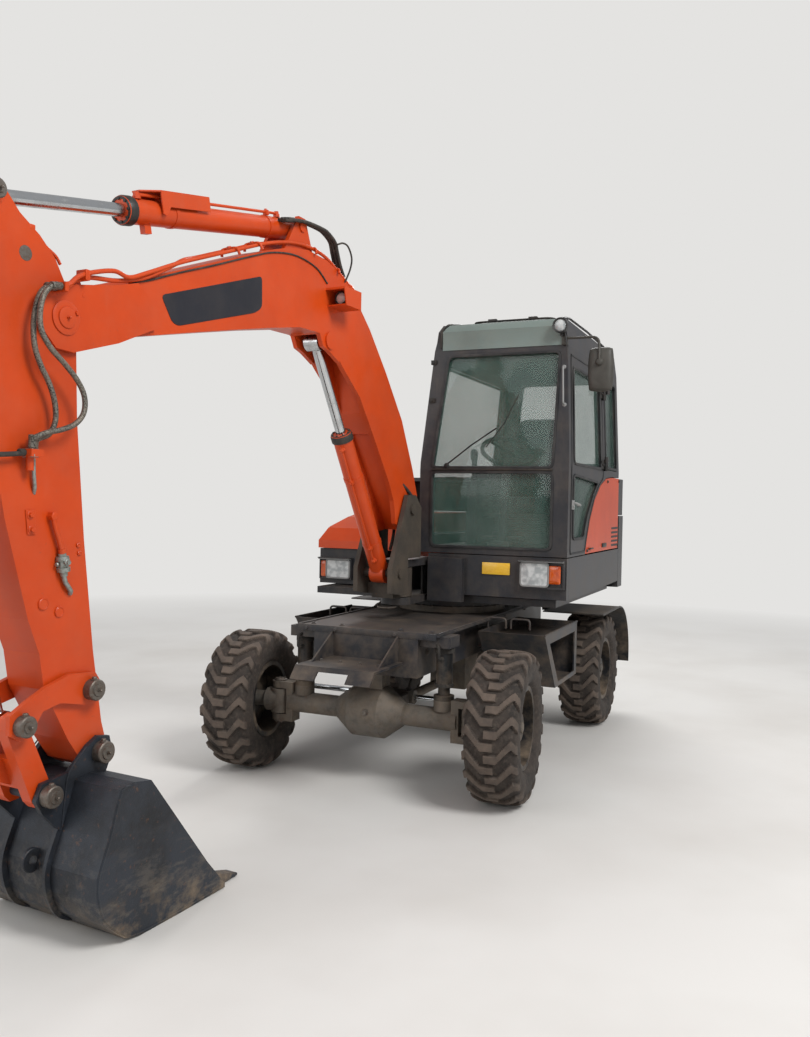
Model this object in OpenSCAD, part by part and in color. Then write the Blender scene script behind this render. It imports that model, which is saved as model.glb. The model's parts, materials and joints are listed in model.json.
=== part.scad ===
// Small wheeled excavator with an offset swing boom, parked with its bucket on the ground.
// Lengths are in millimetres. X points forward, Y to the machine's left and Z up.
// The slewing axis stands at X = slew_x, Y = slew_y, and the wheels stand on Z = 0.

/* [Chassis] */
// Distance between the front and rear axles
wheelbase = 2100; // [2000:10:2200]
// Distance between the middles of a left and a right tyre
track = 1614; // [1560:2:1640]
// Distance from the slewing axis forward to the front axle
front_axle_x = 1270; // [1230:5:1310]
// Height of the chassis deck above the ground
deck_z = 900; // [880:5:910]
// Width of the chassis deck
deck_w = 910; // [860:10:920]
// Depth of the welded chassis frame
frame_h = 250; // [220:10:270]
// Width of the welded chassis frame
frame_w = 660; // [620:10:680]
// Angle at which both front wheels are turned to the left as parked
parked_steer = 5; // [0:1:8]

/* [Wheels] */
// Radius of a tyre over its lugs
tyre_r = 415; // [405:1:420]
// Width of a tyre
tyre_w = 300; // [280:5:305]
// Radius of the rim where the tyre sits on it
rim_r = 214; // [205:1:220]
// Lugs on each half of a tyre
lugs = 20; // [18:1:22]
// How far a lug stands out of the tread
lug_h = 20; // [14:1:24]
// Radius of the hub and its planetary end cover
hub_r = 92; // [80:1:100]

/* [Upper structure] */
// Half of the width of the upper structure
upper_half_w = 940; // [920:5:950]
// Radius of the rounded tail about the slewing axis
tail_r = 1650; // [1620:5:1680]
// Height of the turntable frame's underside
turntable_z = 985; // [975:5:990]
// Height of the cab floor above the ground
cab_floor_z = 1308; // [1300:2:1320]
// Width of the cab
cab_w = 1000; // [980:5:1005]
// Distance from the slewing axis forward to the cab's front at its floor
cab_front_x = 472; // [460:2:480]
// Distance from the slewing axis back to the cab's rear wall
cab_rear_x = 1143; // [1130:1:1160]
// Height of the top of the cab roof above the ground
roof_z = 2860; // [2840:5:2880]
// Height of the engine cover's top above the ground
hood_z = 1850; // [1830:5:1860]

/* [Boom and arm] */
// Heading of the boom as parked, positive to the machine's left
boom_heading = -4; // [-6:1:0]
// Width of the boom's box section
boom_w = 190; // [180:2:200]
// Width of the arm's box section
arm_w = 190; // [180:2:196]
// Width of the bucket
bucket_w = 700; // [660:10:720]
// Bore diameter of the hydraulic cylinders that lift the boom
boom_cyl_d = 112; // [104:1:118]
// Bore diameter of the hydraulic cylinder that moves the arm
arm_cyl_d = 104; // [96:1:110]
// Bore diameter of the hydraulic cylinder that moves the bucket
bucket_cyl_d = 92; // [86:1:96]

/* [Hidden] */

$fn = 64;
// The middle of the whole machine's outline stands at X = 0, Y = 0.
slew_x = -1211.37;
slew_y = -100;
orange = "#d8481c";
charcoal = "#3c4146";
steel = "#8b8f92";

rear_axle_x = front_axle_x - wheelbase;
wheel_y = track / 2;
kingpin_y = wheel_y - 187;
nose_x = 1380;
frame_rear_x = -1180;
frame_z = deck_z - frame_h;
shelf_z = 735;
shelf_x = 1743;
lock_y = deck_w / 2 - 5;
plate = 12;
ring_r = 375;
bead = 109;
// The steering cylinder lies behind the front axle, above its middle.
steer_back = 195;
steer_up = 60;
fit = 0.05;

// Sizes of the cab
wall = 45;
cover_t = 30;
cab_y = upper_half_w - cab_w;
seat_deck_z = 1700;
seat_deck_x = -640;
front_lean_x = 416;
brow_z = 2635;
sill_z = 1850;
door_rear_x = -560;
hinge_y = upper_half_w + 20;
cab_mid_y = upper_half_w - cab_w / 2;
lamp_x = cab_front_x + 1;
tail_in = tail_r - 250;

// The boom's plane stands on this point and turns to boom_heading.
plane_x = 860;
plane_y = -107;
post_u = -130;

// Pins of the boom, arm and bucket in the boom's plane: forward distance u, height z
foot_pin = [-60, 1590];
boom_cyl_foot = [90, 1195];
boom_cyl_head = [862, 2493];
tip_pin = [2659, 2275];
arm_cyl_base = [1120, 3030];
arm_tail_pin = [2960, 2648];
bucket_cyl_base = [3165, 2080];
rocker_pin = [2521, 902];
link_pin = [2831, 826];
bucket_pin = [2472, 655];
ear_pin = [2715, 550];

// Moves the slewing axis to its place in the machine's frame
module machine() {
    translate([slew_x, slew_y, 0]) children();
}

// Places children of the boom's plane: X forward along the boom, Y to the left, Z up
module boom_plane() {
    machine() translate([plane_x, plane_y, 0]) rotate([0, 0, boom_heading]) children();
}

// A box given by its low and high corners
module block(low, high) {
    translate(low) cube([high[0] - low[0], high[1] - low[1], high[2] - low[2]]);
}

// A plate cut to a side outline of [x, z] points, from y0 to y1
module side_plate(outline, y0, y1) {
    translate([0, y1, 0]) rotate([90, 0, 0]) linear_extrude(y1 - y0) polygon(outline);
}

// A plate cut to a front outline of [y, z] points, from x0 to x1
module front_plate(outline, x0, x1) {
    translate([x0, 0, 0]) rotate([90, 0, 90]) linear_extrude(x1 - x0) polygon(outline);
}

// A round bar across the plane at [x, z], from y0 to y1
module cross_bar(at, r, y0, y1) {
    translate([at[0], y1, at[1]]) rotate([90, 0, 0]) cylinder(h = y1 - y0, r = r);
}

// A round bar between two points
module rod(a, b, r) {
    d = b - a;
    translate(a) rotate([0, acos(d[2] / norm(d)), atan2(d[1], d[0])]) cylinder(h = norm(d), r = r);
}

// Children built along X are turned to lie from pin a toward pin b, both [x, z]
module along(a, b) {
    translate([a[0], 0, a[1]]) rotate([0, -atan2(b[1] - a[1], b[0] - a[0]), 0]) children();
}

// Outline of an upright box with rounded corners, between [across, z] corners
function rounded(low, high, r) = [
    for (c = [[high[0] - r, high[1] - r, 0], [low[0] + r, high[1] - r, 90], [low[0] + r, low[1] + r, 180],
        [high[0] - r, low[1] + r, 270]])
    for (a = [0:18:90]) [c[0] + r * cos(a + c[2]), c[1] + r * sin(a + c[2])]];

// Left and right copies
module both_sides() {
    children();
    mirror([0, 1, 0]) children();
}

// Chassis

// Main frame: a box beam under the deck
module chassis_frame() {
    side = frame_w / 2;
    color(charcoal) machine() difference() {
        block([frame_rear_x, -side, frame_z], [nose_x, side, deck_z - plate]);
        // Bays between its cross walls, open below over both axles
        for (x = [[-1150, -480], [-450, 560], [590, 900], [930, 1350]]) {
            block([x[0], -side + 16, frame_z - 1], [x[1], side - 16, deck_z - 60]);
        }
    }
}

// Shelf on the nose with its drooping lip and two gussets
module nose_shelf() {
    lip_x = shelf_x + 62;
    lip_z = shelf_z - 67;
    under_z = shelf_z - plate;
    difference() {
        union() {
            block([nose_x, -243, under_z], [shelf_x, 243, shelf_z]);
            side_plate([[shelf_x - 14, shelf_z], [shelf_x, shelf_z], [lip_x, lip_z], [lip_x - 12, lip_z - 4],
                [shelf_x - 14, under_z]], -240, 240);
            for (y = [-212, 202]) side_plate([[nose_x, deck_z - 20], [nose_x, shelf_z - 1],
                [nose_x + 250, shelf_z - 1], [nose_x + 250, shelf_z]], y, y + 10);
        }
        block([lip_x - 90, -94, lip_z - 20], [lip_x + 20, 94, under_z - 12]);
    }
}

// Two plates with the bore of a tow pin at the rear of the frame
module tow_plates() {
    difference() {
        for (z = [690, 770]) block([frame_rear_x - 150, -60, z], [frame_rear_x, 60, z + 25]);
        translate([frame_rear_x - 100, 0, 600]) cylinder(h = 300, r = 16);
    }
}

// Plates on the frame: the deck, its arms over the axle's lock cylinders, the nose shelf and the tow plates
module chassis_deck() {
    color(charcoal) machine() {
        block([frame_rear_x + 60, -deck_w / 2, deck_z - plate], [nose_x, deck_w / 2, deck_z]);
        both_sides() block([front_axle_x - 75, frame_w / 2, deck_z - 75],
            [front_axle_x + 75, deck_w / 2 + 55, deck_z - plate]);
        nose_shelf();
        tow_plates();
    }
}

// Lower race of the slewing ring, bolted to the deck
module slew_ring() {
    color(steel) machine() translate([0, 0, deck_z]) difference() {
        cylinder(h = 40, r = ring_r);
        translate([0, 0, -1]) cylinder(h = 42, r = ring_r - 90);
    }
}

// A cast axle: differential bowl, tapered arms and a flange at each end
module axle_casting(x, arm_r, end_y) {
    translate([x, 0, tyre_r]) {
        rotate([90, 0, 0]) cylinder(h = 2 * end_y, r = arm_r, center = true);
        rotate([90, 0, 0]) cylinder(h = 190, r = 150, center = true);
        both_sides() translate([0, 95, 0]) rotate([-90, 0, 0]) cylinder(h = 120, r1 = 150, r2 = arm_r);
    }
}

// Front steering axle with its king-pin yokes, hung on a pivot under the frame
module front_axle() {
    color(steel) machine() {
        axle_casting(front_axle_x, 62, kingpin_y - 78);
        block([front_axle_x - 55, -90, tyre_r + 120], [front_axle_x + 55, 90, frame_z + 130]);
        both_sides() difference() {
            union() {
                for (z = [tyre_r - 118, tyre_r + 78]) {
                    translate([front_axle_x, kingpin_y, z]) cylinder(h = 40, r = 48);
                    block([front_axle_x - 45, kingpin_y - 110, z], [front_axle_x + 45, kingpin_y, z + 40]);
                }
                block([front_axle_x - 45, kingpin_y - 110, tyre_r - 118],
                    [front_axle_x + 45, kingpin_y - 66, tyre_r + 118]);
                translate([front_axle_x, lock_y, tyre_r + 50]) cylinder(h = 60, r = 58);
                block([front_axle_x - steer_back + 40.5, 110, tyre_r + steer_up - 28],
                    [front_axle_x - 50, 170, tyre_r + steer_up + 28]);
            }
            translate([front_axle_x, kingpin_y, tyre_r - 130]) cylinder(h = 260, r = 20.05);
        }
    }
}

// Rigid rear axle with spring-less pads under the frame
module rear_axle() {
    color(steel) machine() {
        axle_casting(rear_axle_x, 68, wheel_y - 130);
        both_sides() {
            block([rear_axle_x - 90, frame_w / 2 - 130, tyre_r],
                [rear_axle_x + 90, frame_w / 2 - 30, frame_z]);
            translate([rear_axle_x, wheel_y - 130, tyre_r]) rotate([-90, 0, 0]) cylinder(h = 60, r = 120);
        }
    }
}

// Cylinders that lock the front axle's tilt, one at each side of the frame
module axle_lock_cylinders() {
    foot_z = tyre_r + 110;
    color(steel) machine() both_sides() translate([front_axle_x, lock_y, 0]) {
        translate([0, 0, foot_z]) cylinder(h = 26, r = 58);
        translate([0, 0, foot_z + 26]) cylinder(h = 46, r = 34);
        translate([0, 0, foot_z + 72]) cylinder(h = 210, r = 47);
        translate([0, 0, foot_z + 282]) cylinder(h = 12, r = 54);
    }
}

// Drop box, travel motor and the shafts to both axles
module driveline() {
    box_x = -80;
    shaft_z = tyre_r - 20;
    color(steel) machine() {
        block([box_x - 130, -130, 330], [box_x + 130, 130, frame_z + 60]);
        translate([box_x - 60, 0, frame_z + 80]) rotate([0, -90, 0]) cylinder(h = 300, r = 95);
        rod([box_x + 120, 0, shaft_z], [front_axle_x - 151, 0, shaft_z], 30);
        rod([box_x - 120, 0, shaft_z], [rear_axle_x + 151, 0, shaft_z], 30);
    }
}

// Open box steps between the wheels
module side_steps() {
    in_y = 442;
    out_y = 870;
    top_z = 842;
    low_z = 482;
    front_x = 690;
    foot_x = 420;
    rear_x = -140;
    color(charcoal) machine() both_sides() {
        side_plate([[front_x, top_z], [foot_x, low_z], [foot_x - 12, low_z], [front_x - 14, top_z]],
            in_y, out_y);
        block([rear_x, in_y, low_z], [foot_x, out_y, low_z + 10]);
        block([rear_x, in_y, top_z - 60], [front_x - 44, out_y, top_z - 50]);
        block([rear_x, in_y, low_z], [rear_x + 12, out_y, top_z]);
        difference() {
            side_plate([[front_x - 14, top_z], [foot_x - 12, low_z], [rear_x, low_z], [rear_x, top_z]],
                out_y - 10, out_y);
            side_plate([[front_x - 120, top_z - 62], [foot_x - 70, low_z + 28], [rear_x + 60, low_z + 28],
                [rear_x + 60, top_z - 62]], out_y - 20, out_y + 10);
        }
        side_plate([[front_x - 14, top_z], [foot_x - 12, low_z], [rear_x, low_z], [rear_x, top_z]],
            in_y, in_y + 10);
        // Brackets to the frame
        for (x = [rear_x + 40, foot_x - 120]) {
            block([x, frame_w / 2, top_z - 150], [x + 60, in_y, top_z - 60]);
        }
    }
}

// Curved guards over the rear wheels
module rear_fenders() {
    in_y = 560;
    out_y = 1000;
    bend_r = 420;
    bend_x = -1000;
    top_z = 868;
    color("#26292b") machine() both_sides() {
        block([bend_x, in_y, top_z - 8], [-390, out_y, top_z]);
        translate([bend_x, out_y, top_z - bend_r]) rotate([90, 0, 0]) rotate([0, 0, 90])
            rotate_extrude_band(bend_r, 8, out_y - in_y, 90);
        block([bend_x - bend_r, in_y, top_z - bend_r - 60], [bend_x - bend_r + 8, out_y, top_z - bend_r]);
        block([rear_axle_x - 40, deck_w / 2 - 10, top_z - 40], [rear_axle_x + 40, in_y + 20, top_z - 8]);
    }
}

// A bent plate: a quarter ring about Z, from radius r - t to r
module rotate_extrude_band(r, t, h, angle) {
    rotate_extrude(angle = angle) translate([r - t, 0]) square([t, h]);
}

// Steering cylinder behind the axle: its barrel is held by the axle
module steering_barrel() {
    color(steel) machine() {
        difference() {
            cross_bar([front_axle_x - steer_back, tyre_r + steer_up], 40, -190, 190);
            cross_bar([front_axle_x - steer_back, tyre_r + steer_up], 16 + fit, -191, 191);
        }
    }
}

// Through rod of the steering cylinder
module steering_rod() {
    shift = -steer_back * sin(parked_steer);
    color("silver") machine() translate([front_axle_x - steer_back, shift, tyre_r + steer_up]) {
        cross_bar([0, 0], 16, -kingpin_y, kingpin_y);
        both_sides() translate([0, kingpin_y, -16]) cylinder(h = 32, r = 24);
    }
}

// Places children of a front wheel at its king pin, turned as parked
module at_kingpin(side) {
    machine() translate([front_axle_x, side * kingpin_y, tyre_r]) rotate([0, 0, parked_steer]) children();
}

// Steering knuckle: king pin, stub axle and steering lever
module knuckle(side) {
    color(steel) at_kingpin(side) {
        cylinder(h = 250, r = 20, center = true);
        translate([0, 0, -72]) cylinder(h = 144, r = 58);
        mirror([0, side < 0 ? 1 : 0, 0]) rotate([-90, 0, 0]) {
            cylinder(h = 187, r = 44.95);
            cylinder(h = 80, r = 70);
        }
        block([-steer_back, -20, steer_up - 42], [-30, 20, steer_up - 20]);
        translate([-steer_back, 0, steer_up - 42]) cylinder(h = 22, r = 24);
    }
}

module knuckle_left() { knuckle(1); }
module knuckle_right() { knuckle(-1); }

// Profile of a tyre, from its left bead over the tread to its right one, as
// [radius between lugs, radius on a lug, distance across, turn about the axle, share of the lug's steps]
tread = [
    [rim_r + 1, rim_r + 1, 6 - bead, 0, 0],
    [330, 330, -tyre_w / 2, -5, 0.5],
    [tyre_r - lug_h - 2, tyre_r - 2, 37 - tyre_w / 2, -12, 1],
    [tyre_r - lug_h, tyre_r, -10, 0, 1],
    [tyre_r - lug_h, tyre_r, 10, 180 / lugs, 1],
    [tyre_r - lug_h - 2, tyre_r - 2, tyre_w / 2 - 37, 180 / lugs - 12, 1],
    [330, 330, tyre_w / 2, -3, 0.5],
    [rim_r + 1, rim_r + 1, bead - 6, 0, 0]
];
// Steps round the tyre in one pitch of its lugs: foot, top, top and foot of a lug, in pitches
lug_steps = [-0.08, 0, 0.34, 0.42];

// A tyre about its own axle along Y: one closed skin with the lugs of both halves set in turn
module tyre() {
    pitch = 360 / lugs;
    cols = len(tread);
    rings = 4 * lugs;
    points = [for (i = [0:rings - 1]) for (t = tread)
        let (k = i % 4, high = k == 1 || k == 2, even = k / 4 * (1 - t[4]) + lug_steps[k] * t[4],
            a = 180 + pitch * (floor(i / 4) + even) + t[3], r = high ? t[1] : t[0])
        [r * sin(a), t[2], r * cos(a)]];
    // The band between the halves joins each lug's end to the gap across from it
    band = [for (p = [0:lugs - 1])
        let (l = [for (k = [0:4]) ((4 * p + k) % rings) * cols + 3],
            r = [for (k = [-1:3]) ((4 * p + k + rings) % rings) * cols + 4])
        each [[r[0], l[1], l[0]], [r[0], r[1], l[1]], [l[1], r[1], l[2]], [l[2], r[1], l[3]],
            [l[3], r[1], r[2]], [l[3], r[2], l[4]], [l[4], r[2], r[3]], [l[4], r[3], r[4]]]];
    skin = [for (i = [0:rings - 1]) for (j = [0:cols - 1]) if (j != 3)
        let (a = i * cols + j, b = i * cols + (j + 1) % cols, c = (i + 1) % rings * cols + (j + 1) % cols,
            d = (i + 1) % rings * cols + j)
        each [[a, c, d], [a, b, c]]];
    color("#4a4540") polyhedron(points, concat(skin, band));
}

// A dished rim with its hub and end cover, outboard toward Y
module rim() {
    color("#26282a") rotate([-90, 0, 0]) difference() {
        union() {
            rotate_extrude($fn = 96) polygon([
                [rim_r - 12, -bead - 9], [rim_r + 14, -bead - 9], [rim_r + 14, -bead - 1], [rim_r, -bead - 1],
                [rim_r, bead + 1], [rim_r + 14, bead + 1], [rim_r + 14, bead + 9], [rim_r - 12, bead + 9]]);
            translate([0, 0, 8]) cylinder(h = 14, r = rim_r);
            translate([0, 0, -20]) cylinder(h = 88, r = hub_r);
            translate([0, 0, 68]) cylinder(h = 22, r1 = hub_r, r2 = hub_r - 20);
        }
        translate([0, 0, -21]) cylinder(h = 60, r = 45);
    }
}

// Places a wheel with its outboard side toward Y * side
module front_wheel(side) {
    at_kingpin(side) translate([0, side * (wheel_y - kingpin_y), 0])
        mirror([0, side < 0 ? 1 : 0, 0]) children();
}

module rear_wheel(side) {
    machine() translate([rear_axle_x, side * wheel_y, tyre_r]) mirror([0, side < 0 ? 1 : 0, 0]) children();
}

module tyre_front_left() { front_wheel(1) tyre(); }
module tyre_front_right() { front_wheel(-1) tyre(); }
module tyre_rear_left() { rear_wheel(1) tyre(); }
module tyre_rear_right() { rear_wheel(-1) tyre(); }
module rim_front_left() { front_wheel(1) rim(); }
module rim_front_right() { front_wheel(-1) rim(); }
module rim_rear_left() { rear_wheel(1) rim(); }
module rim_rear_right() { rear_wheel(-1) rim(); }

// Upper structure

// Space inside the rounded tail
module tail_round(r, z0, z1) {
    translate([0, 0, z0]) cylinder(h = z1 - z0, r = r, $fn = 128);
}

// Turntable frame with the upper race and the lugs of the boom's swing post
module upper_frame() {
    post = [plane_x + post_u * cos(boom_heading), plane_y + post_u * sin(boom_heading)];
    floor_z = turntable_z + 45;
    color(charcoal) machine() {
        difference() {
            union() {
                translate([0, 0, deck_z + 43]) cylinder(h = turntable_z - deck_z - 43, r = ring_r - 20);
                block([-1180, -860, turntable_z], [410, 860, floor_z]);
                // Two tall ribs carry the lugs
                for (y = [-182, -42]) block([-780, y, floor_z], [470, y + 14, 1250]);
                for (z = [turntable_z, 1225]) {
                    translate([post[0], post[1], z]) cylinder(h = 45, r = 100);
                    block([330, post[1] - 100, z], [post[0], post[1] + 100, z + 45]);
                }
            }
            translate([post[0], post[1], turntable_z - 10]) cylinder(h = 400, r = 40 + fit);
            translate([0, 0, 900]) cylinder(h = 140, r = ring_r - 110);
        }
        // Seat and pin of the swing cylinder
        translate([swing_base[0], swing_base[1], floor_z]) {
            cylinder(h = swing_z - 44 - floor_z, r = 48);
            cylinder(h = swing_z + 55 - floor_z, r = 20);
            translate([0, 0, swing_z + 44 - floor_z]) cylinder(h = 12, r = 34);
        }
    }
}

// Cast counterweight that closes the rounded tail
module counterweight() {
    color(charcoal) machine() difference() {
        intersection() {
            tail_round(tail_r, turntable_z + 15, 1560);
            block([-tail_r, -upper_half_w, turntable_z], [-1190, upper_half_w, 1600]);
        }
        block([-tail_in, -760, turntable_z - 1], [-1100, 760, 1601]);
    }
}

// Hinged cover over the engine, with its hinge barrels and two rows of louvres
module engine_hood() {
    back = [-tail_r + 90, -tail_r + 170];
    color(charcoal) machine() {
        difference() {
            intersection() {
                tail_round(tail_r - 12, 1566, hood_z);
                side_plate([[-1170, 1566], [-tail_r, 1566], [-tail_r, 1640], [back[0], hood_z - 25],
                    [back[1], hood_z], [-1170, hood_z]], -upper_half_w + 4, upper_half_w - 4);
            }
            intersection() {
                tail_round(tail_r - 40, 1560, hood_z - 30);
                side_plate([[-1140, 1560], [-tail_r + 40, 1560], [-tail_r + 40, 1620], [back[0], hood_z - 60],
                    [back[1], hood_z - 30], [-1140, hood_z - 30]], -upper_half_w + 34, upper_half_w - 34);
            }
        }
        for (y = [-520, 60]) {
            cross_bar([-1170, hood_z], 11, y, y + 90);
            for (x = [0:5]) side_plate([[-1240 - 34 * x, hood_z - 1], [-1240 - 34 * x, hood_z + 8],
                [-1262 - 34 * x, hood_z - 1]], y - 140, y + 230);
        }
    }
}

// Solid of the right housing, its faces moved in by inset
module housing_solid(inset) {
    top = 1560 - inset;
    floor_z = 1295 + inset;
    rear_x = -1180 - inset / 30;
    low_z = turntable_z + 48 - inset / 30;
    right = inset - upper_half_w;
    left = cab_y - 130 - inset;
    intersection() {
        side_plate([[262 - inset, floor_z], [262 - inset, 1350], [215 - inset, 1440 - inset / 2],
            [80 - inset / 2, 1520 - inset], [-60, top], [rear_x, top], [rear_x, low_z],
            [-240 - inset, low_z], [-240 - inset, floor_z]], -upper_half_w, cab_y - 130);
        front_plate([[right, 900], [right, 1350], [right + 60, 1450], [right + 190 - inset / 2, top],
            [left, top], [left, 900]], -1200, 300);
    }
}

// Orange covers over the tanks and valves at the right of the boom
module right_housing() {
    color(orange) machine() difference() {
        housing_solid(0);
        housing_solid(30);
        block([-1190, cab_y - 170, turntable_z], [-790, cab_y - 120, 1528]);
        block([-1060, -upper_half_w - 1, 1085], [-560, -upper_half_w + 40, 1325]);
    }
}

// Grille of the cooler in the right housing: a frame with slanted slats
module housing_grille() {
    y = -upper_half_w;
    color(charcoal) machine() {
        difference() {
            block([-1060, y + 2, 1085], [-560, y + 28, 1325]);
            block([-1044, y, 1101], [-576, y + 30, 1309]);
        }
        for (z = [1108:24:1300]) front_plate([[y + 4, z], [y + 26, z + 16], [y + 26, z + 20], [y + 4, z + 4]],
            -1044, -576);
    }
}

// Outline of the left cover as [x, z], grown by g
function cover_outline(g) = [
    [-28 + g, 1312 - g], [-60 + g, 1384 + g], [-150 + g, 1530 + g], [-300, 1680 + g], [-480, 1780 + g],
    [-680, 1836 + g], [-880, hood_z + g], [-1150 - g, hood_z + g], [-1150 - g, 1312 - g]];

// Orange quarter cover at the left, behind the door
module left_cover() {
    color(orange) machine() side_plate(cover_outline(0), upper_half_w - cover_t, upper_half_w);
}

// Dark lower body: the box under the cab and the right front corner
module lower_body() {
    z0 = turntable_z + 55;
    color(charcoal) machine() {
        // Front and left walls under the cab
        block([cab_front_x - 60, cab_y + 68, z0], [cab_front_x, upper_half_w, cab_floor_z - 6]);
        side_plate([[cab_front_x - 62, z0], [cab_front_x - 62, cab_floor_z - 6], [-1184, cab_floor_z - 6],
            [-1184, z0 + 10], [-300, z0]], upper_half_w - 40, upper_half_w);
        // Step-like box beside the boom
        block([cab_front_x + 2, 27, turntable_z + 10], [cab_front_x + 52, 267, 1279]);
        // Right front corner
        block([-234, -upper_half_w, z0], [232, -560, 1290]);
        lamp_boxes();
    }
}

// Two lamp boxes, each open in front under a short visor
module lamp_boxes() {
    difference() {
        block([lamp_x, upper_half_w - 302, 1108], [lamp_x + 30, upper_half_w - 8, 1284]);
        block([lamp_x + 18, upper_half_w - 292, 1120], [lamp_x + 31, upper_half_w - 18, 1274]);
    }
    block([lamp_x, upper_half_w - 302, 1283], [lamp_x + 60, upper_half_w - 8, 1290]);
    difference() {
        block([233, 8 - upper_half_w, 1072], [257, 266 - upper_half_w, 1222]);
        block([246, 16 - upper_half_w, 1080], [258, 258 - upper_half_w, 1214]);
    }
    block([233, 8 - upper_half_w, 1221], [286, 266 - upper_half_w, 1228]);
}

// Lenses of the head lamps
module head_lamps() {
    w = upper_half_w;
    color("whitesmoke") machine() {
        front_plate(rounded([w - 282, 1128], [w - 112, 1266], 18), lamp_x + 18, lamp_x + 36);
        front_plate(rounded([72 - w, 1086], [250 - w, 1208], 18), 246, 262);
    }
}

// Amber turn lamps beside the head lamps, and the reflector inboard of the left one
module turn_lamps() {
    w = upper_half_w;
    color("darkorange") machine() {
        front_plate(rounded([w - 552, 1182], [w - 366, 1258], 8), lamp_x, lamp_x + 9);
        front_plate(rounded([w - 106, 1140], [w - 28, 1258], 14), lamp_x + 18, lamp_x + 34);
        front_plate(rounded([22 - w, 1086], [66 - w, 1204], 14), 246, 260);
    }
}

// Red lamps let into the tail
module tail_lamps() {
    color("firebrick") machine() both_sides() intersection() {
        difference() {
            cylinder(h = 1230, r = tail_r + 7, $fn = 128);
            translate([0, 0, -1]) cylinder(h = 1300, r = tail_r, $fn = 128);
        }
        block([-tail_r - 20, 560, 1140], [-1200, 700, 1225]);
    }
}

// Engine as one plain block, across the tail behind the cab
module engine() {
    color(steel) machine() block([20 - tail_in, -520, turntable_z + 60], [-800, 320, 1500]);
}

// Outer shape of the cab between its side and front outlines
module cab_outer(inset) {
    right = cab_y + inset;
    left = upper_half_w - inset;
    intersection() {
        side_plate([[cab_front_x - inset, cab_floor_z + inset], [cab_front_x + 4 - inset, sill_z],
            [front_lean_x - inset, brow_z + 60], [front_lean_x + 14 - inset, 2762 - inset],
            [front_lean_x - 40 - inset, 2815 - inset], [150, roof_z - 8 - inset], [-400, roof_z - inset],
            [-1000, roof_z - 12 - inset], [-cab_rear_x + inset, 2790 - inset],
            [-cab_rear_x + inset, seat_deck_z + inset], [seat_deck_x + inset, seat_deck_z + inset],
            [seat_deck_x + inset, cab_floor_z + inset]], cab_y, upper_half_w);
        front_plate([[right, cab_floor_z], [right, 1900], [right + 66, 2640], [right + 110, 2830 - inset],
            [right + 190, roof_z - inset], [left - 140, roof_z - inset], [left - 60, 2810 - inset],
            [left - 36, 2640], [left, 1900], [left, cab_floor_z]], -1200, 500);
    }
}

// Outline of the door as [x, z], grown by g
function door_outline(g) = [
    [402 + g, 1330 - g], [-8 - g, 1330 - g], [-40 - g, 1402], [-132 - g, 1552], [-286 - g, 1704],
    [-420 - g, 1782], [door_rear_x - g, 1834], [door_rear_x - g, 2588 + g], [352 + g, 2588 + g],
    [402 + g, 1860]];

// Outline from a table of [across, z, growth across, growth in z], grown by g
function grown(table, g) = [for (p = table) [p[0] + p[2] * g, p[1] + p[3] * g]];

// Openings of the fixed windows, grown by g
module windows(g) {
    left = upper_half_w;
    right = cab_y;
    // Windscreen, upper and lower panes
    front_plate(grown([[right + 86, 1868, -1, -1], [left - 104, 1868, 1, -1], [left - 82, 2600, 1, 1],
        [right + 170, 2600, -1, 1]], g), 300, 600);
    front_plate(grown([[right + 86, 1352, -1, -1], [left - 104, 1352, 1, -1], [left - 104, 1838, 1, 1],
        [right + 86, 1838, -1, 1]], g), 300, 600);
    // Rear window
    front_plate(grown([[right + 150, 1960, -1, -1], [left - 100, 1960, 1, -1], [left - 120, 2600, 1, 1],
        [right + 210, 2600, -1, 1]], g), -1300, -1000);
    // Right side window
    side_plate(grown([[330, 1420, 1, -1], [-560, 1420, -1, -1], [-560, 1900, -1, -1], [-1040, 1900, -1, -1],
        [-1040, 2560, -1, 1], [290, 2560, 1, 1], [330, 1900, 1, 0]], g), right - 10, right + 140);
    // Left rear side window
    side_plate(grown([[door_rear_x - 90, 1900, 1, -1], [-1050, 1900, -1, -1], [-1050, 2560, -1, 1],
        [door_rear_x - 90, 2560, 1, 1]], g), left - 140, left + 10);
    // Roof hatch
    block([-500 - g, right + 260 - g, 2700], [200 + g, left - 200 + g, 2900]);
}

// Panes of the door, upper and lower, grown by g
module door_windows(g) {
    side_plate(grown([[340, 1900, 1, -1], [-480, 1900, -1, -1], [-480, 2520, -1, 1], [300, 2520, 1, 1]], g),
        upper_half_w - 140, upper_half_w + 10);
    side_plate(grown([[345, 1420, 1, -1], [30, 1420, -2, -1], [-60, 1560, -2, 0], [-220, 1700, -2, 0],
        [-380, 1800, -4, 1], [345, 1830, 1, 1]], g), upper_half_w - 140, upper_half_w + 10);
}

// Opening for the door
module doorway() {
    side_plate(door_outline(6), upper_half_w - 140, upper_half_w + 10);
}

// Shell of the cab with all its openings cut
module cab_shell() {
    difference() {
        cab_outer(0);
        cab_outer(wall);
        windows(0);
        doorway();
        // Recess behind the left cover
        side_plate(cover_outline(6), upper_half_w - cover_t - 5, upper_half_w + 10);
    }
}

// Space of the floor pan and the seat's deck inside the walls
module floor_space() {
    block([wall - cab_rear_x, cab_y + wall, cab_floor_z - 5], [cab_front_x - wall, upper_half_w - wall,
        seat_deck_z + wall + 5]);
}

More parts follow.
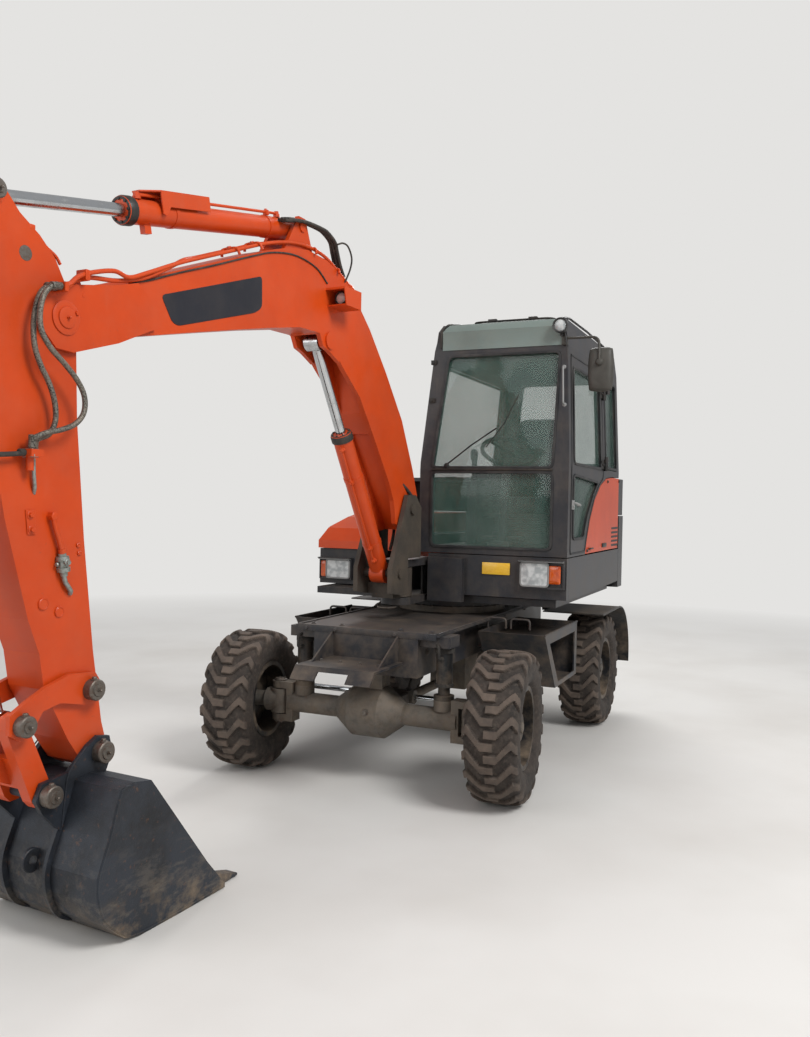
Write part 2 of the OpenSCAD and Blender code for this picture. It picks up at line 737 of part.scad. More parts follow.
// Floor pan, the step up behind the seat and the deck over the engine
module cab_floor() {
    pan_z = cab_floor_z + wall;
    deck_top = seat_deck_z + wall;
    front_x = cab_front_x - wall;
    color(charcoal) machine() difference() {
        side_plate([[seat_deck_x, cab_floor_z], [front_x, cab_floor_z], [front_x, pan_z],
            [seat_deck_x + wall, pan_z], [seat_deck_x + wall, deck_top], [wall - cab_rear_x, deck_top],
            [wall - cab_rear_x, seat_deck_z], [seat_deck_x, seat_deck_z]], cab_y + wall, upper_half_w - wall);
        doorway();
    }
}

// Cab frame: walls, pillars and roof
module cab_frame() {
    color(charcoal) machine() difference() {
        cab_shell();
        floor_space();
    }
}

// Panes of the cab's fixed windows
module cab_glass() {
    color("#9fc4b8") machine() intersection() {
        difference() {
            cab_outer(18);
            cab_outer(24);
        }
        windows(-0.5);
    }
}

// Mirror, work lamp and handrail on the cab
module cab_fittings() {
    arm_y = upper_half_w + 170;
    lamp_y = upper_half_w - 140;
    rail_y = upper_half_w - 48;
    color("#222426") machine() difference() {
        union() {
            // Mirror on its arm from the left front pillar
            rod([430, upper_half_w - 60, 2690], [470, arm_y, 2640], 10);
            translate([470, arm_y, 2640]) sphere(r = 12);
            rod([470, arm_y, 2590], [470, arm_y, 2640], 10);
            front_plate(rounded([arm_y - 70, 2310], [arm_y + 90, 2600], 34), 444, 490);
            // Round work lamp at the roof's front left corner
            translate([front_lean_x + 15, lamp_y, 2800]) rotate([0, 90, 0]) cylinder(h = 60, r = 55);
            // Handrail in front of the left pillar
            rod([cab_front_x + 36, rail_y, 2060], [cab_front_x - 14, rail_y - 20, 2500], 12);
            rod([cab_front_x - 20, rail_y, 2075], [cab_front_x + 40, rail_y, 2075], 12);
            rod([cab_front_x - 70, rail_y - 19, 2485], [cab_front_x - 8, rail_y - 19, 2485], 12);
        }
        cab_outer(-0.5);
    }
}

// Seat on its box
module seat() {
    y = cab_mid_y;
    color("#2b2c2e") machine() {
        block([-540, y - 210, cab_floor_z + 50], [-80, y + 210, 1560]);
        block([-575, y - 250, 1564], [-20, y + 250, 1690]);
        side_plate([[-575, 1694], [-430, 1694], [-590, 2330], [-680, 2330]], y - 230, y + 230);
    }
}

// Steering column and wheel, side consoles and their levers
module controls() {
    y = cab_mid_y;
    color("#2b2c2e") machine() {
        block([190, y - 70, cab_floor_z + 47], [310, y + 70, cab_floor_z + 80]);
        rod([250, y, cab_floor_z + 70], [136, y, 1955], 30);
        rod([140, y, 1930], [130, y, 1980], 22);
        translate([130, y, 1985]) rotate([0, -28, 0]) {
            rotate_extrude() translate([180, 0]) circle(r = 15, $fn = 8);
            translate([0, 0, -20]) cylinder(h = 34, r = 50);
            for (a = [90, 210, 330]) rotate([0, 0, a]) block([30, -12, -7], [180, 12, 5]);
        }
        translate([0, y, 0]) both_sides() {
            block([-480, 255, cab_floor_z + 47], [40, 330, 1790]);
            rod([-20, 292, 1770], [0, 292, 1990], 18);
        }
    }
}

// Door frame about its panes
module cab_door() {
    color(charcoal) machine() difference() {
        union() {
            intersection() {
                difference() {
                    cab_outer(0);
                    cab_outer(wall - 5);
                }
                side_plate(door_outline(0), upper_half_w - 140, upper_half_w + 10);
            }
            for (z = [1930, 2440]) {
                translate([door_rear_x, hinge_y, z]) cylinder(h = 60, r = 14);
            }
        }
        door_windows(0);
    }
}

// Panes of the door
module door_glass() {
    color("#9fc4b8") machine() intersection() {
        difference() {
            cab_outer(16);
            cab_outer(22);
        }
        door_windows(-0.5);
    }
}

// Boom swing

// Cast bracket on the vertical post: it carries the boom's foot and its cylinder
module swing_bracket() {
    hub_z0 = turntable_z + 50;
    hub_z1 = 1220;
    lever = swing_lever - [plane_x + post_u * cos(boom_heading), plane_y + post_u * sin(boom_heading)];
    color(steel) boom_plane() {
        translate([post_u, 0, hub_z0]) cylinder(h = hub_z1 - hub_z0, r = 95);
        translate([post_u, 0, turntable_z - 5]) cylinder(h = 300, r = 40);
        // Web in front of the post
        block([post_u + 60, -75, hub_z0], [60, 75, 1130]);
        // Two tall ears with the pins of the boom and of its cylinder
        for (y = [-135, 105]) {
            side_plate([[post_u - 60, 1285], [post_u - 60, 1600], [foot_pin[0] - 50, 1680],
                [foot_pin[0] + 50, 1680], [foot_pin[0] + 90, 1590], [190, 1230], [190, 1080], [60, 1060],
                [post_u + 110, 1060], [post_u + 110, 1285]], y, y + 30);
        }
        both_sides() block([post_u + 110, 70, 1060], [60, 106, 1130]);
        cross_bar(foot_pin, 32, -150, 150);
        cross_bar(boom_cyl_foot, 27, -148, 148);
        // Lever for the swing cylinder, above and below the rod's eye
        for (z = [swing_z - 68, swing_z + 38]) translate([post_u, 0, z]) {
            rotate([0, 0, atan2(lever[1], lever[0]) - boom_heading]) {
                block([40, -42, 0], [norm(lever), 42, 30]);
                translate([norm(lever), 0, 0]) cylinder(h = 30, r = 42);
            }
        }
    }
}

// A cylinder barrel along X from its eye at the origin, with a gland ring about its rod
module barrel(r, length, eye_r, eye_w, pin_r, rod_r) {
    gland = 45;
    bore_x = eye_r + 30;
    difference() {
        union() {
            rotate([90, 0, 0]) cylinder(h = eye_w, r = eye_r, center = true);
            translate([eye_r * 0.6, 0, 0]) rotate([0, 90, 0]) cylinder(h = length - eye_r * 0.6, r = r);
            translate([length - gland, 0, 0]) rotate([0, 90, 0]) cylinder(h = gland, r = r + 4);
        }
        rotate([90, 0, 0]) cylinder(h = eye_w + 2, r = pin_r + fit, center = true);
        translate([bore_x, 0, 0]) rotate([0, 90, 0]) cylinder(h = length - bore_x - gland, r = r - 12);
        translate([length / 2, 0, 0]) rotate([0, 90, 0]) cylinder(h = length, r = rod_r + fit);
    }
}

// A piston rod along X, from inside its barrel to its eye at distance length
module piston(r, start, length, eye_r, eye_w) {
    translate([start, 0, 0]) rotate([0, 90, 0]) cylinder(h = length - start - eye_r * 0.7, r = r);
    translate([length, 0, 0]) rotate([90, 0, 0]) cylinder(h = eye_w, r = eye_r, center = true);
}

swing_base = [-100, -330];
swing_lever = [665, -287];
swing_z = 1130;

module swing_cylinder_barrel() {
    color("#26292b") machine() translate([swing_base[0], swing_base[1], swing_z])
        rotate([0, 0, atan2(swing_lever[1] - swing_base[1], swing_lever[0] - swing_base[0])])
        rotate([90, 0, 0]) barrel(38, 560, 40, 84, 20, 18);
}

module swing_cylinder_rod() {
    color("silver") machine() translate([swing_base[0], swing_base[1], swing_z])
        rotate([0, 0, atan2(swing_lever[1] - swing_base[1], swing_lever[0] - swing_base[0])])
        rotate([90, 0, 0]) piston(18, 260, norm(swing_lever - swing_base), 34, 60);
}

// Boom and arm

// Bent box boom with forked tip and its cylinder lugs
module boom() {
    w = boom_w / 2;
    color(orange) boom_plane() difference() {
        union() {
            side_plate([[2560, 2410], [2301, 2496], [1991, 2614], [1630, 2755], [1424, 2835], [1251, 2892],
                [1084, 2922], [903, 2913], [740, 2865], [654, 2818], [436, 2626], [237, 2405], [22, 2137],
                [-131, 1846], [-200, 1680], [-190, 1540], [-120, 1465], [-10, 1450], [79, 1500], [110, 1640],
                [174, 1752], [329, 1962], [534, 2225], [723, 2369], [839, 2469], [968, 2518],
                [1143, 2515], [1414, 2463], [1700, 2402], [1984, 2340], [2297, 2270], [2450, 2240]], -w, w);
            // Tip fork around the arm
            both_sides() side_plate([[2300, 2480], [2180, 2390], [2190, 2320], [2400, 2225], [2620, 2155],
                [2700, 2160], [2770, 2230], [2780, 2300], [2740, 2370], [2640, 2400], [2440, 2440]],
                w - 20, w + 24);
            // Lugs for the cylinder that moves the arm
            both_sides() side_plate([[1010, 2900], [1090, 3080], [1150, 3080], [1270, 2880]], 58, 80);
            // Cheeks about the lifting cylinder's head pin
            both_sides() {
                side_plate([[760, 2390], [862, 2436], [925, 2455], [960, 2520], [900, 2600], [780, 2500]],
                    70, w);
                cross_bar(boom_cyl_head, 46, w, w + 10);
            }
        }
        cross_bar(foot_pin, 32 + fit, -200, 200);
        // Slot between the fork's cheeks
        side_plate([[2405, 2100], [2405, 2250], [2375, 2390], [2310, 2520], [2800, 2520], [2800, 2100]],
            -w - 6, w + 6);
        // Channel for the lifting cylinder
        side_plate([[-165, 1348], [320, 1995], [345, 2030], [425, 2030], [620, 2524], [655, 2640],
            [725, 2680], [870, 2664], [940, 2610], [960, 2500], [1060, 2400], [1100, 1350]], -66, 66);
    }
    // Clip that holds the ends of the two hoses
    color(orange) boom_plane() block([2700, w + 22, 2356], [2716, w + 84, 2388]);
    // Pins of the arm and of its cylinder
    color("silver") boom_plane() {
        cross_bar(tip_pin, 30, -w - 28, w + 28);
        cross_bar(arm_cyl_base, 24, -88, 88);
    }
}

// Work lamp at the left of the boom's bend
module boom_lamp() {
    y = [boom_w / 2 + 1, boom_w / 2 + 120];
    color(orange) boom_plane() {
        difference() {
            side_plate([[740, 2670], [890, 2670], [912, 2754], [906, 2766], [740, 2766]], y[0], y[1]);
            side_plate([[748, 2678], [930, 2678], [930, 2748], [890, 2758], [748, 2758]], y[0] - 1, y[1] - 6);
        }
        translate([748, y[0] + 62, 2716]) rotate([0, 90, 0]) cylinder(h = 104, r = 34);
    }
}

module boom_cylinder_barrel() {
    color(orange) boom_plane() along(boom_cyl_foot, boom_cyl_head)
        barrel(boom_cyl_d / 2, 960, 62, 96, 27, 29);
}

module boom_cylinder_rod() {
    color("silver") boom_plane() along(boom_cyl_foot, boom_cyl_head)
        piston(29, 580, norm(boom_cyl_head - boom_cyl_foot), 50, 88);
}

// A hose: rings of 8 corners round the points that it passes
module hose(points, r) {
    last = len(points) - 1;
    corners = [for (i = [0:last])
        let (d = points[min(i + 1, last)] - points[max(i - 1, 0)], c = cross(d, [0, 1, 0]), s = c / norm(c),
            t = cross(s, d) / norm(d))
        for (k = [0:7]) points[i] + r * cos(45 * k) * s + r * sin(45 * k) * t];
    polyhedron(corners, concat(
        [for (i = [0:last - 1]) for (k = [0:7])
            let (a = 8 * i + k, b = 8 * i + (k + 1) % 8) each [[a, b, b + 8], [a, b + 8, a + 8]]],
        [for (k = [1:6]) [0, k + 1, k]],
        [for (k = [1:6]) [8 * last, 8 * last + k, 8 * last + k + 1]]));
}

// Two hoses that hang in a loop from the boom's tip to a fitting on the arm
module tip_hose_outer() {
    color("#26292b") boom_plane() hose([[2716, 134, 2372], [2744, 134, 2372], [2788, 137, 2334],
        [2811, 139, 2268], [2817, 140, 2210], [2810, 140, 2145], [2784, 139, 2086], [2752, 138, 2038],
        [2727, 137, 1988], [2714, 136, 1936], [2716, 135, 1888], [2738, 132, 1848], [2780, 127, 1828],
        [2796, 125, 1812], [2796, 125, 1790]], 10);
}

module tip_hose_inner() {
    color("#26292b") boom_plane() hose([[2716, 160, 2372], [2746, 160, 2372], [2792, 163, 2330],
        [2812, 166, 2262], [2806, 168, 2200], [2768, 170, 2146], [2706, 171, 2098], [2650, 171, 2048],
        [2616, 171, 1994], [2616, 170, 1936], [2650, 167, 1892], [2708, 163, 1866], [2770, 158, 1850],
        [2812, 151, 1830], [2823, 148, 1810], [2823, 148, 1790]], 10);
}

// Tapered box arm with a tail fork
module arm() {
    w = arm_w / 2;
    color(orange) boom_plane() difference() {
        union() {
            side_plate([[2990, 2690], [2920, 2690], [2842, 2606], [2757, 2550], [2690, 2486], [2640, 2400],
                [2590, 2250], [2579, 1913], [2538, 1465], [2487, 1043], [2440, 760], [2410, 660], [2430, 605],
                [2480, 590], [2530, 620], [2600, 720], [2714, 929], [2736, 1060], [2787, 1189], [2887, 1543],
                [2958, 1870], [3030, 2200], [3040, 2420], [3020, 2640]], -w, w);
            side_plate([[2940, 1790], [3120, 2020], [3215, 2060], [3215, 2110], [3150, 2150], [3020, 2330]],
                -80, 80);
        }
        cross_bar(tip_pin, 30 + fit, -200, 200);
        cross_bar(bucket_pin, 26 + fit, -200, 200);
        // Slot for the rod's eye at the tail
        side_plate([[2850, 2536], [3060, 2496], [3060, 2760], [2820, 2760]], -50, 50);
        // Slot for the bucket cylinder's base
        side_plate([[3050, 1900], [3250, 1900], [3250, 2200], [3100, 2190], [3055, 2110]], -53, 53);
    }
    // Pins of the rocker and of the bucket's cylinder, and the ends of the pin at the tail
    color("silver") boom_plane() {
        cross_bar(rocker_pin, 25, -w - 34, w + 34);
        cross_bar(bucket_cyl_base, 22, -86, 86);
        both_sides() cross_bar(arm_tail_pin, 36, w, w + 8);
    }
    // Fitting under the ends of the two hoses
    color(steel) boom_plane() {
        block([2784, w - 2, 1764], [2836, w + 66, 1790]);
        translate([2812, w + 30, 1716]) cylinder(h = 49, r = 13);
    }
}

module arm_cylinder_barrel() {
    color(orange) boom_plane() along(arm_cyl_base, arm_tail_pin) barrel(arm_cyl_d / 2, 1190, 50, 96, 24, 27);
}

// Sheet guard over the ports of the arm's cylinder, and the stop under its barrel
module cylinder_guard() {
    r = arm_cyl_d / 2;
    color(orange) boom_plane() along(arm_cyl_base, arm_tail_pin) {
        difference() {
            union() {
                both_sides() side_plate([[700, r - 30], [960, r - 30], [990, -16], [1010, -8], [1010, 86],
                    [700, 86]], r + 8, r + 14);
                block([700, -r - 14, 80], [1010, r + 14, 86]);
                flat_plate([[1009, -r - 14], [1090, -20], [1090, 20], [1009, r + 14]], 80, 86);
                for (x = [740, 900]) block([x, -r - 9, r - 20], [x + 20, r + 9, 81]);
            }
            translate([600, 0, 0]) rotate([0, 90, 0]) cylinder(h = 500, r = r);
        }
        difference() {
            block([1040, -14, -r - 34], [1078, 14, -r + 8]);
            translate([1000, 0, 0]) rotate([0, 90, 0]) cylinder(h = 100, r = r);
        }
    }
}

// A flat plate of [x, y] points from z0 to z1
module flat_plate(outline, z0, z1) {
    translate([0, 0, z0]) linear_extrude(z1 - z0) polygon(outline);
}

module arm_cylinder_rod() {
    color("silver") boom_plane() along(arm_cyl_base, arm_tail_pin)
        piston(27, 720, norm(arm_tail_pin - arm_cyl_base), 44, 80);
}

module bucket_cylinder_barrel() {
    color(orange) boom_plane() along(bucket_cyl_base, link_pin) barrel(bucket_cyl_d / 2, 830, 44, 96, 22, 25);
}

module bucket_cylinder_rod() {
    color("silver") boom_plane() along(bucket_cyl_base, link_pin)
        piston(25, 440, norm(link_pin - bucket_cyl_base), 42, 76);
}

// Two curved side links between the arm and the cylinder's head
module rocker() {
    color(orange) boom_plane() for (y = [-123, 103]) difference() {
        side_plate([[2880, 868], [2816, 903], [2731, 942], [2619, 974], [2498, 962], [2456, 900], [2480, 851],
            [2540, 846], [2663, 875], [2740, 859], [2781, 800], [2831, 772], [2880, 800]], y, y + 20);
        cross_bar(rocker_pin, 25 + fit, -200, 200);
    }
}

// Link between the cylinder's head and the bucket
module bucket_link() {
    color(orange) boom_plane() difference() {
        union() {
            for (y = [-98, 48]) side_plate([[2800, 856], [2830, 866], [2865, 852], [2876, 815], [2762, 532],
                [2738, 506], [2700, 508], [2675, 535], [2676, 566], [2784, 812]], y, y + 50);
            side_plate([[2795, 700], [2820, 695], [2780, 580], [2750, 592]], -48, 48);
            // Lifting eye on the tie plate
            side_plate([[2812, 690], [2850, 692], [2880, 682], [2892, 656], [2886, 628], [2862, 614],
                [2832, 612], [2784, 590]], -12, 12);
        }
        cross_bar(ear_pin, 25 + fit, -200, 200);
        cross_bar([2854, 653], 14, -30, 30);
    }
}

// Bucket shell with its ears
module bucket() {
    w = bucket_w / 2;
    t = 12;
    color("#4b5054") boom_plane() {
        difference() {
            side_plate([[2432, 570], [2519, 585], [2593, 576], [2647, 412], [2696, 287], [2694, 198],
                [2660, 113], [2558, 22], [2482, 2], [2265, 0], [1990, 4], [1990, 20], [2103, 148]], -w, w);
            side_plate([[2420, 556], [2519, 570], [2580, 562], [2634, 408], [2682, 284], [2680, 202],
                [2648, 122], [2552, 36], [2480, 16], [2265, 14], [1980, 24], [2090, 150]], t - w, w - t);
        }
        for (y = [-124, 104]) {
            side_plate([[2425, 706], [2480, 716], [2530, 690], [2620, 610], [2740, 598], [2768, 540],
                [2737, 486], [2653, 400], [2590, 577], [2519, 586], [2440, 572], [2407, 640]], y, y + 20);
        }
        cross_bar(bucket_pin, 26, -132, 132);
        cross_bar(ear_pin, 25, -132, 132);
    }
}

// Five digging teeth on the lip
module bucket_teeth() {
    color(steel) boom_plane() for (i = [0:4]) {
        y = -290 + i * 145;
        side_plate([[1989, 0], [1870, 6], [1870, 16], [1975, 48], [2060, 48], [2060, 22.5], [1989, 25]],
            y - 30, y + 30);
    }
}

chassis_frame();
chassis_deck();
slew_ring();
front_axle();
rear_axle();
axle_lock_cylinders();
driveline();
side_steps();
rear_fenders();
steering_barrel();
steering_rod();
knuckle_left();
knuckle_right();
tyre_front_left();
tyre_front_right();
tyre_rear_left();
tyre_rear_right();
rim_front_left();
rim_front_right();
rim_rear_left();
rim_rear_right();
upper_frame();
counterweight();
right_housing();
housing_grille();
left_cover();
lower_body();
engine();
engine_hood();
head_lamps();
turn_lamps();
tail_lamps();
cab_floor();
cab_frame();
cab_glass();
cab_fittings();
seat();
controls();
cab_door();
door_glass();
swing_bracket();
swing_cylinder_barrel();
swing_cylinder_rod();
boom();
boom_lamp();
boom_cylinder_barrel();
boom_cylinder_rod();
arm();
arm_cylinder_barrel();
cylinder_guard();
arm_cylinder_rod();
tip_hose_outer();
tip_hose_inner();
bucket_cylinder_barrel();
bucket_cylinder_rod();
rocker();
bucket_link();
bucket();
bucket_teeth();
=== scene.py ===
"""Dresses a wheeled excavator: finishes, tyres, lines, bolts, seat, lamps, floor, light and camera."""

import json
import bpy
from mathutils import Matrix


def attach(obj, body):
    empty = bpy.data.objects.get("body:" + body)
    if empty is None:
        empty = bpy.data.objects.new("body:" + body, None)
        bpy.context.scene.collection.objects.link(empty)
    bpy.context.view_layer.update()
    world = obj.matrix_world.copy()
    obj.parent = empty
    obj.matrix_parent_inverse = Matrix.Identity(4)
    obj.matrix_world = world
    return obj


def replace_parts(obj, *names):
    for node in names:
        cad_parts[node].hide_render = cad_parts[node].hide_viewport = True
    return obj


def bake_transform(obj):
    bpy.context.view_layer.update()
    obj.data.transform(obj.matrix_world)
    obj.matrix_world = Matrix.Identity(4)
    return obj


bl_info = {
    "name": "Wheeled excavator",
    "version": (1, 1, 0),
    "blender": (4, 5, 0),
    "location": "View3D > Sidebar > Excavator",
    "description": "Adds the finishes and the small pieces of a wheeled excavator",
    "category": "Object",
}

import bmesh
import bpy
import numpy as np
from mathutils import Matrix, Vector

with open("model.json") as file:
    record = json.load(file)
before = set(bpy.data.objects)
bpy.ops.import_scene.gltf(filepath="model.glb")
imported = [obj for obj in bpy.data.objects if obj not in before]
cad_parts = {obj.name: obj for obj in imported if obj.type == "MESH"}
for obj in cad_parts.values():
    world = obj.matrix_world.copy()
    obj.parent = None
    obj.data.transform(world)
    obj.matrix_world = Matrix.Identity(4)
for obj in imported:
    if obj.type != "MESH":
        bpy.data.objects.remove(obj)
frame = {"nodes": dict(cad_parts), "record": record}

# The slewing axis in metres. From it, in millimetres: the swing axis, where the boom's plane starts.
SLEW = np.array([-1.21137, -0.1, 0.0])
SWING_AXIS = (860.0, -107.0)
PLANE = np.array(SWING_AXIS) / 1000.0
HEADING = np.radians(-4.0)
# Millimetres from here on. The wheels:
TYRE_R = 415.0
FRONT_AXLE_X = 1270.0
REAR_AXLE_X = -830.0
WHEEL_Y = 807.0
KINGPIN_Y = 620.0
FENDER_Y = 992.0
PARKED = np.radians(5.0)
# The cab and the upper structure
CAB_RIGHT = -60.0
CAB_LEFT = 940.0
CAB_MID = 440.0
CAB_REAR = -1143.0
SILL_Z = 1900.0
EAVES_Z = 2640.0
TAIL_R = 1650.0
# The boom, its pins and its cylinders, as (forward, up) in the boom's plane
BOOM_SIDE = 95.0
TIP_PIN = (2659, 2275)
ARM_CYL_BASE = (1120, 3030)
ARM_TAIL_PIN = (2960, 2648)
BOOM_CYL_FOOT = (90, 1195)
BOOM_CYL_HEAD = (862, 2493)
BUCKET_CYL_BASE = (3165, 2080)
ROCKER_PIN = (2521, 902)
LINK_PIN = (2831, 826)
BUCKET_PIN = (2472, 655)
EAR_PIN = (2715, 550)
BUCKET_SIDE = 350.0
X, Y, Z = np.eye(3)


def row(points):
    """Millimetres about the slewing axis to metres in the row frame."""
    return np.atleast_2d(np.asarray(points, float)) / 1000.0 + SLEW


def plane(points):
    """Millimetres in the boom's plane, as (forward, left, up), to metres in the row frame."""
    p = np.atleast_2d(np.asarray(points, float)) / 1000.0
    c, s = np.cos(HEADING), np.sin(HEADING)
    x = PLANE[0] + p[:, 0] * c - p[:, 1] * s
    y = PLANE[1] + p[:, 0] * s + p[:, 1] * c
    return np.stack([x, y, p[:, 2]], 1) + SLEW


def along(a, b):
    """A place whose X runs from pin a toward pin b of the boom's plane, Y to the left, Z square to both."""
    a, b = np.asarray(a, float), np.asarray(b, float)
    t = (b - a) / np.linalg.norm(b - a)

    def place(points):
        p = np.atleast_2d(np.asarray(points, float))
        return plane(np.stack([a[0] + p[:, 0] * t[0] - p[:, 2] * t[1], p[:, 1],
                               a[1] + p[:, 0] * t[1] + p[:, 2] * t[0]], 1))

    return place


def wheel(name):
    """A place at a wheel's centre: X forward, Y outward along the axle, Z up."""
    side = 1 if "left" in name else -1
    turn = PARKED if "front" in name else 0.0
    ahead = np.array([np.cos(turn), np.sin(turn), 0.0])
    out = side * np.array([-np.sin(turn), np.cos(turn), 0.0])
    if turn:
        centre = np.array([FRONT_AXLE_X, side * KINGPIN_Y, TYRE_R]) + out * (WHEEL_Y - KINGPIN_Y)
    else:
        centre = np.array([REAR_AXLE_X, side * WHEEL_Y, TYRE_R])

    def place(points):
        p = np.atleast_2d(np.asarray(points, float))
        return row(centre + p[:, :1] * ahead + p[:, 1:2] * out + p[:, 2:] * Z)

    return place


def point(place, *at):
    """One point of a place as a tuple in the row frame."""
    return tuple(float(v) for v in place([at])[0])


def windscreen(z):
    """How far forward the windscreen's face is at a height."""
    return np.interp(z, (1308, 1850, 2695), (472, 476, 416)) + 3


def cab_side(z, at_sill, at_eaves):
    """How far to the left a side of the cab is at a height: upright to the sill, then leaning in."""
    return np.interp(z, (SILL_Z, EAVES_Z), (at_sill, at_eaves))


def linear(code):
    """sRGB hex to linear colour."""
    v = np.array([int(code[i : i + 2], 16) for i in (1, 3, 5)]) / 255.0
    v = np.where(v <= 0.04045, v / 12.92, ((v + 0.055) / 1.055) ** 2.4)
    return (float(v[0]), float(v[1]), float(v[2]), 1.0)


class Finish:
    """A material under construction: a shader and the nodes that feed it."""

    def __init__(self, name, colour, rough, metal=0.0, coat=0.0):
        self.material = bpy.data.materials.new(name)
        self.material.use_nodes = True
        self.tree = self.material.node_tree
        self.shader = self.tree.nodes["Principled BSDF"]
        self.shader.inputs["Base Color"].default_value = linear(colour)
        self.shader.inputs["Roughness"].default_value = rough
        self.shader.inputs["Metallic"].default_value = metal
        self.shader.inputs["Coat Weight"].default_value = coat
        self.coords = self.tree.nodes.new("ShaderNodeTexCoord")
        self.colour = None

    def node(self, kind, **values):
        """Adds a node and sets its inputs by name."""
        n = self.tree.nodes.new(kind)
        for key, value in values.items():
            n.inputs[key.replace("_", " ")].default_value = value
        return n

    def link(self, a, b):
        """Links an output to an input."""
        self.tree.links.new(a, b)

    def mapped(self, scale):
        """Object coordinates in metres, stretched by scale."""
        m = self.node("ShaderNodeMapping", Scale=scale)
        self.link(self.coords.outputs["Object"], m.inputs["Vector"])
        return m.outputs["Vector"]

    def ramp(self, value, low, high):
        """0 where value is at low, 1 at high."""
        r = self.node("ShaderNodeMapRange")
        r.inputs["From Min"].default_value = low
        r.inputs["From Max"].default_value = high
        self.link(value, r.inputs["Value"])
        return r.outputs["Result"]

    def noise(self, size, detail=4.0, rough=0.6, stretch=(1, 1, 1), low=0.4, high=0.6):
        """Noise with grains of a size in millimetres, ramped from 0 at low to 1 at high."""
        n = self.node("ShaderNodeTexNoise", Scale=1000.0 / size, Detail=detail, Roughness=rough)
        self.link(self.mapped(stretch), n.inputs["Vector"])
        return self.ramp(n.outputs["Fac"], low, high)

    def height(self, low, high):
        """1 below the height low, in metres, falling to 0 at high."""
        s = self.node("ShaderNodeSeparateXYZ")
        self.link(self.coords.outputs["Object"], s.inputs["Vector"])
        return self.ramp(s.outputs["Z"], high, low)

    def upward(self, low=0.5, high=1.0):
        """1 on faces that look up."""
        g = self.node("ShaderNodeNewGeometry")
        s = self.node("ShaderNodeSeparateXYZ")
        self.link(g.outputs["Normal"], s.inputs["Vector"])
        return self.ramp(s.outputs["Z"], low, high)

    def maths(self, kind, a, b):
        """A sum or product of two sockets or numbers, kept between 0 and 1."""
        n = self.tree.nodes.new("ShaderNodeMath")
        n.operation = kind
        n.use_clamp = True
        for i, v in enumerate((a, b)):
            if isinstance(v, (int, float)):
                n.inputs[i].default_value = v
            else:
                self.link(v, n.inputs[i])
        return n.outputs[0]

    def over(self, code, amount):
        """Lays a colour over the base by amount, a socket."""
        m = self.tree.nodes.new("ShaderNodeMix")
        m.data_type = "RGBA"
        if self.colour is None:
            m.inputs["A"].default_value = self.shader.inputs["Base Color"].default_value
        else:
            self.link(self.colour, m.inputs["A"])
        m.inputs["B"].default_value = linear(code)
        self.link(amount, m.inputs["Factor"])
        self.colour = m.outputs["Result"]
        self.link(self.colour, self.shader.inputs["Base Color"])

    def roughness(self, low, high, amount):
        """Roughness from low to high by amount, a socket."""
        r = self.node("ShaderNodeMapRange")
        r.inputs["To Min"].default_value = low
        r.inputs["To Max"].default_value = high
        self.link(amount, r.inputs["Value"])
        self.link(r.outputs["Result"], self.shader.inputs["Roughness"])

    def bump(self, height, distance, strength=1.0):
        """Relief: height, a socket, times a distance in metres."""
        b = self.node("ShaderNodeBump", Strength=strength, Distance=distance)
        self.link(height, b.inputs["Height"])
        self.link(b.outputs["Normal"], self.shader.inputs["Normal"])


def paint(name, colour, dark, dust, dust_amount=0.5, rough=0.34, low=0.0, high=1.4):
    """Sprayed enamel: slow tone changes, dust in patches and low down, chips, and fine orange peel."""
    f = Finish(name, colour, rough, coat=0.05)
    f.shader.inputs["Specular IOR Level"].default_value = 0.35
    f.over(dark, f.maths("MULTIPLY", f.noise(590, 5, 0.62, low=0.42, high=0.70), 0.6))
    film = f.noise(165, 8, 0.68, low=0.40, high=0.76)
    weight = f.maths("ADD", f.maths("MULTIPLY", f.height(low, high), 0.9), dust_amount * 0.40)
    film = f.maths("MULTIPLY", film, weight)
    runs = f.noise(38, 6, 0.6, stretch=(1, 1, 0.12), low=0.58, high=0.76)
    film = f.maths("ADD", film, f.maths("MULTIPLY", runs, dust_amount * 0.18))
    film = f.maths("ADD", film, f.maths("MULTIPLY", f.upward(), dust_amount * 0.30))
    f.over(dust, film)
    f.over("#4f4843", f.maths("MULTIPLY", f.noise(14, 3, 0.5, low=0.70, high=0.73), dust_amount * 0.9))
    f.roughness(rough, 0.80, film)
    # The peel of sprayed paint is about 2 mm from crest to crest.
    f.bump(f.noise(2.4, 2, 0.5, low=0.2, high=0.8), 0.00025, 0.35)
    return f.material


def cast(name, colour, dust, amount=0.55):
    """Rough dirty casting: a grainy skin, dust in patches and rust in the low spots."""
    f = Finish(name, colour, 0.7, metal=0.3)
    f.over("#3b3833", f.noise(71, 8, 0.7, low=0.45, high=0.75))
    f.over(dust, f.maths("MULTIPLY", f.noise(200, 9, 0.7, low=0.34, high=0.66), amount))
    f.over("#6b4630", f.maths("MULTIPLY", f.noise(31, 6, 0.65, low=0.62, high=0.74), 0.55))
    # Moulding sand leaves grains of a millimetre, drawn at 4 mm to show.
    f.bump(f.noise(4, 4, 0.7, low=0.2, high=0.8), 0.0011, 0.8)
    return f.material


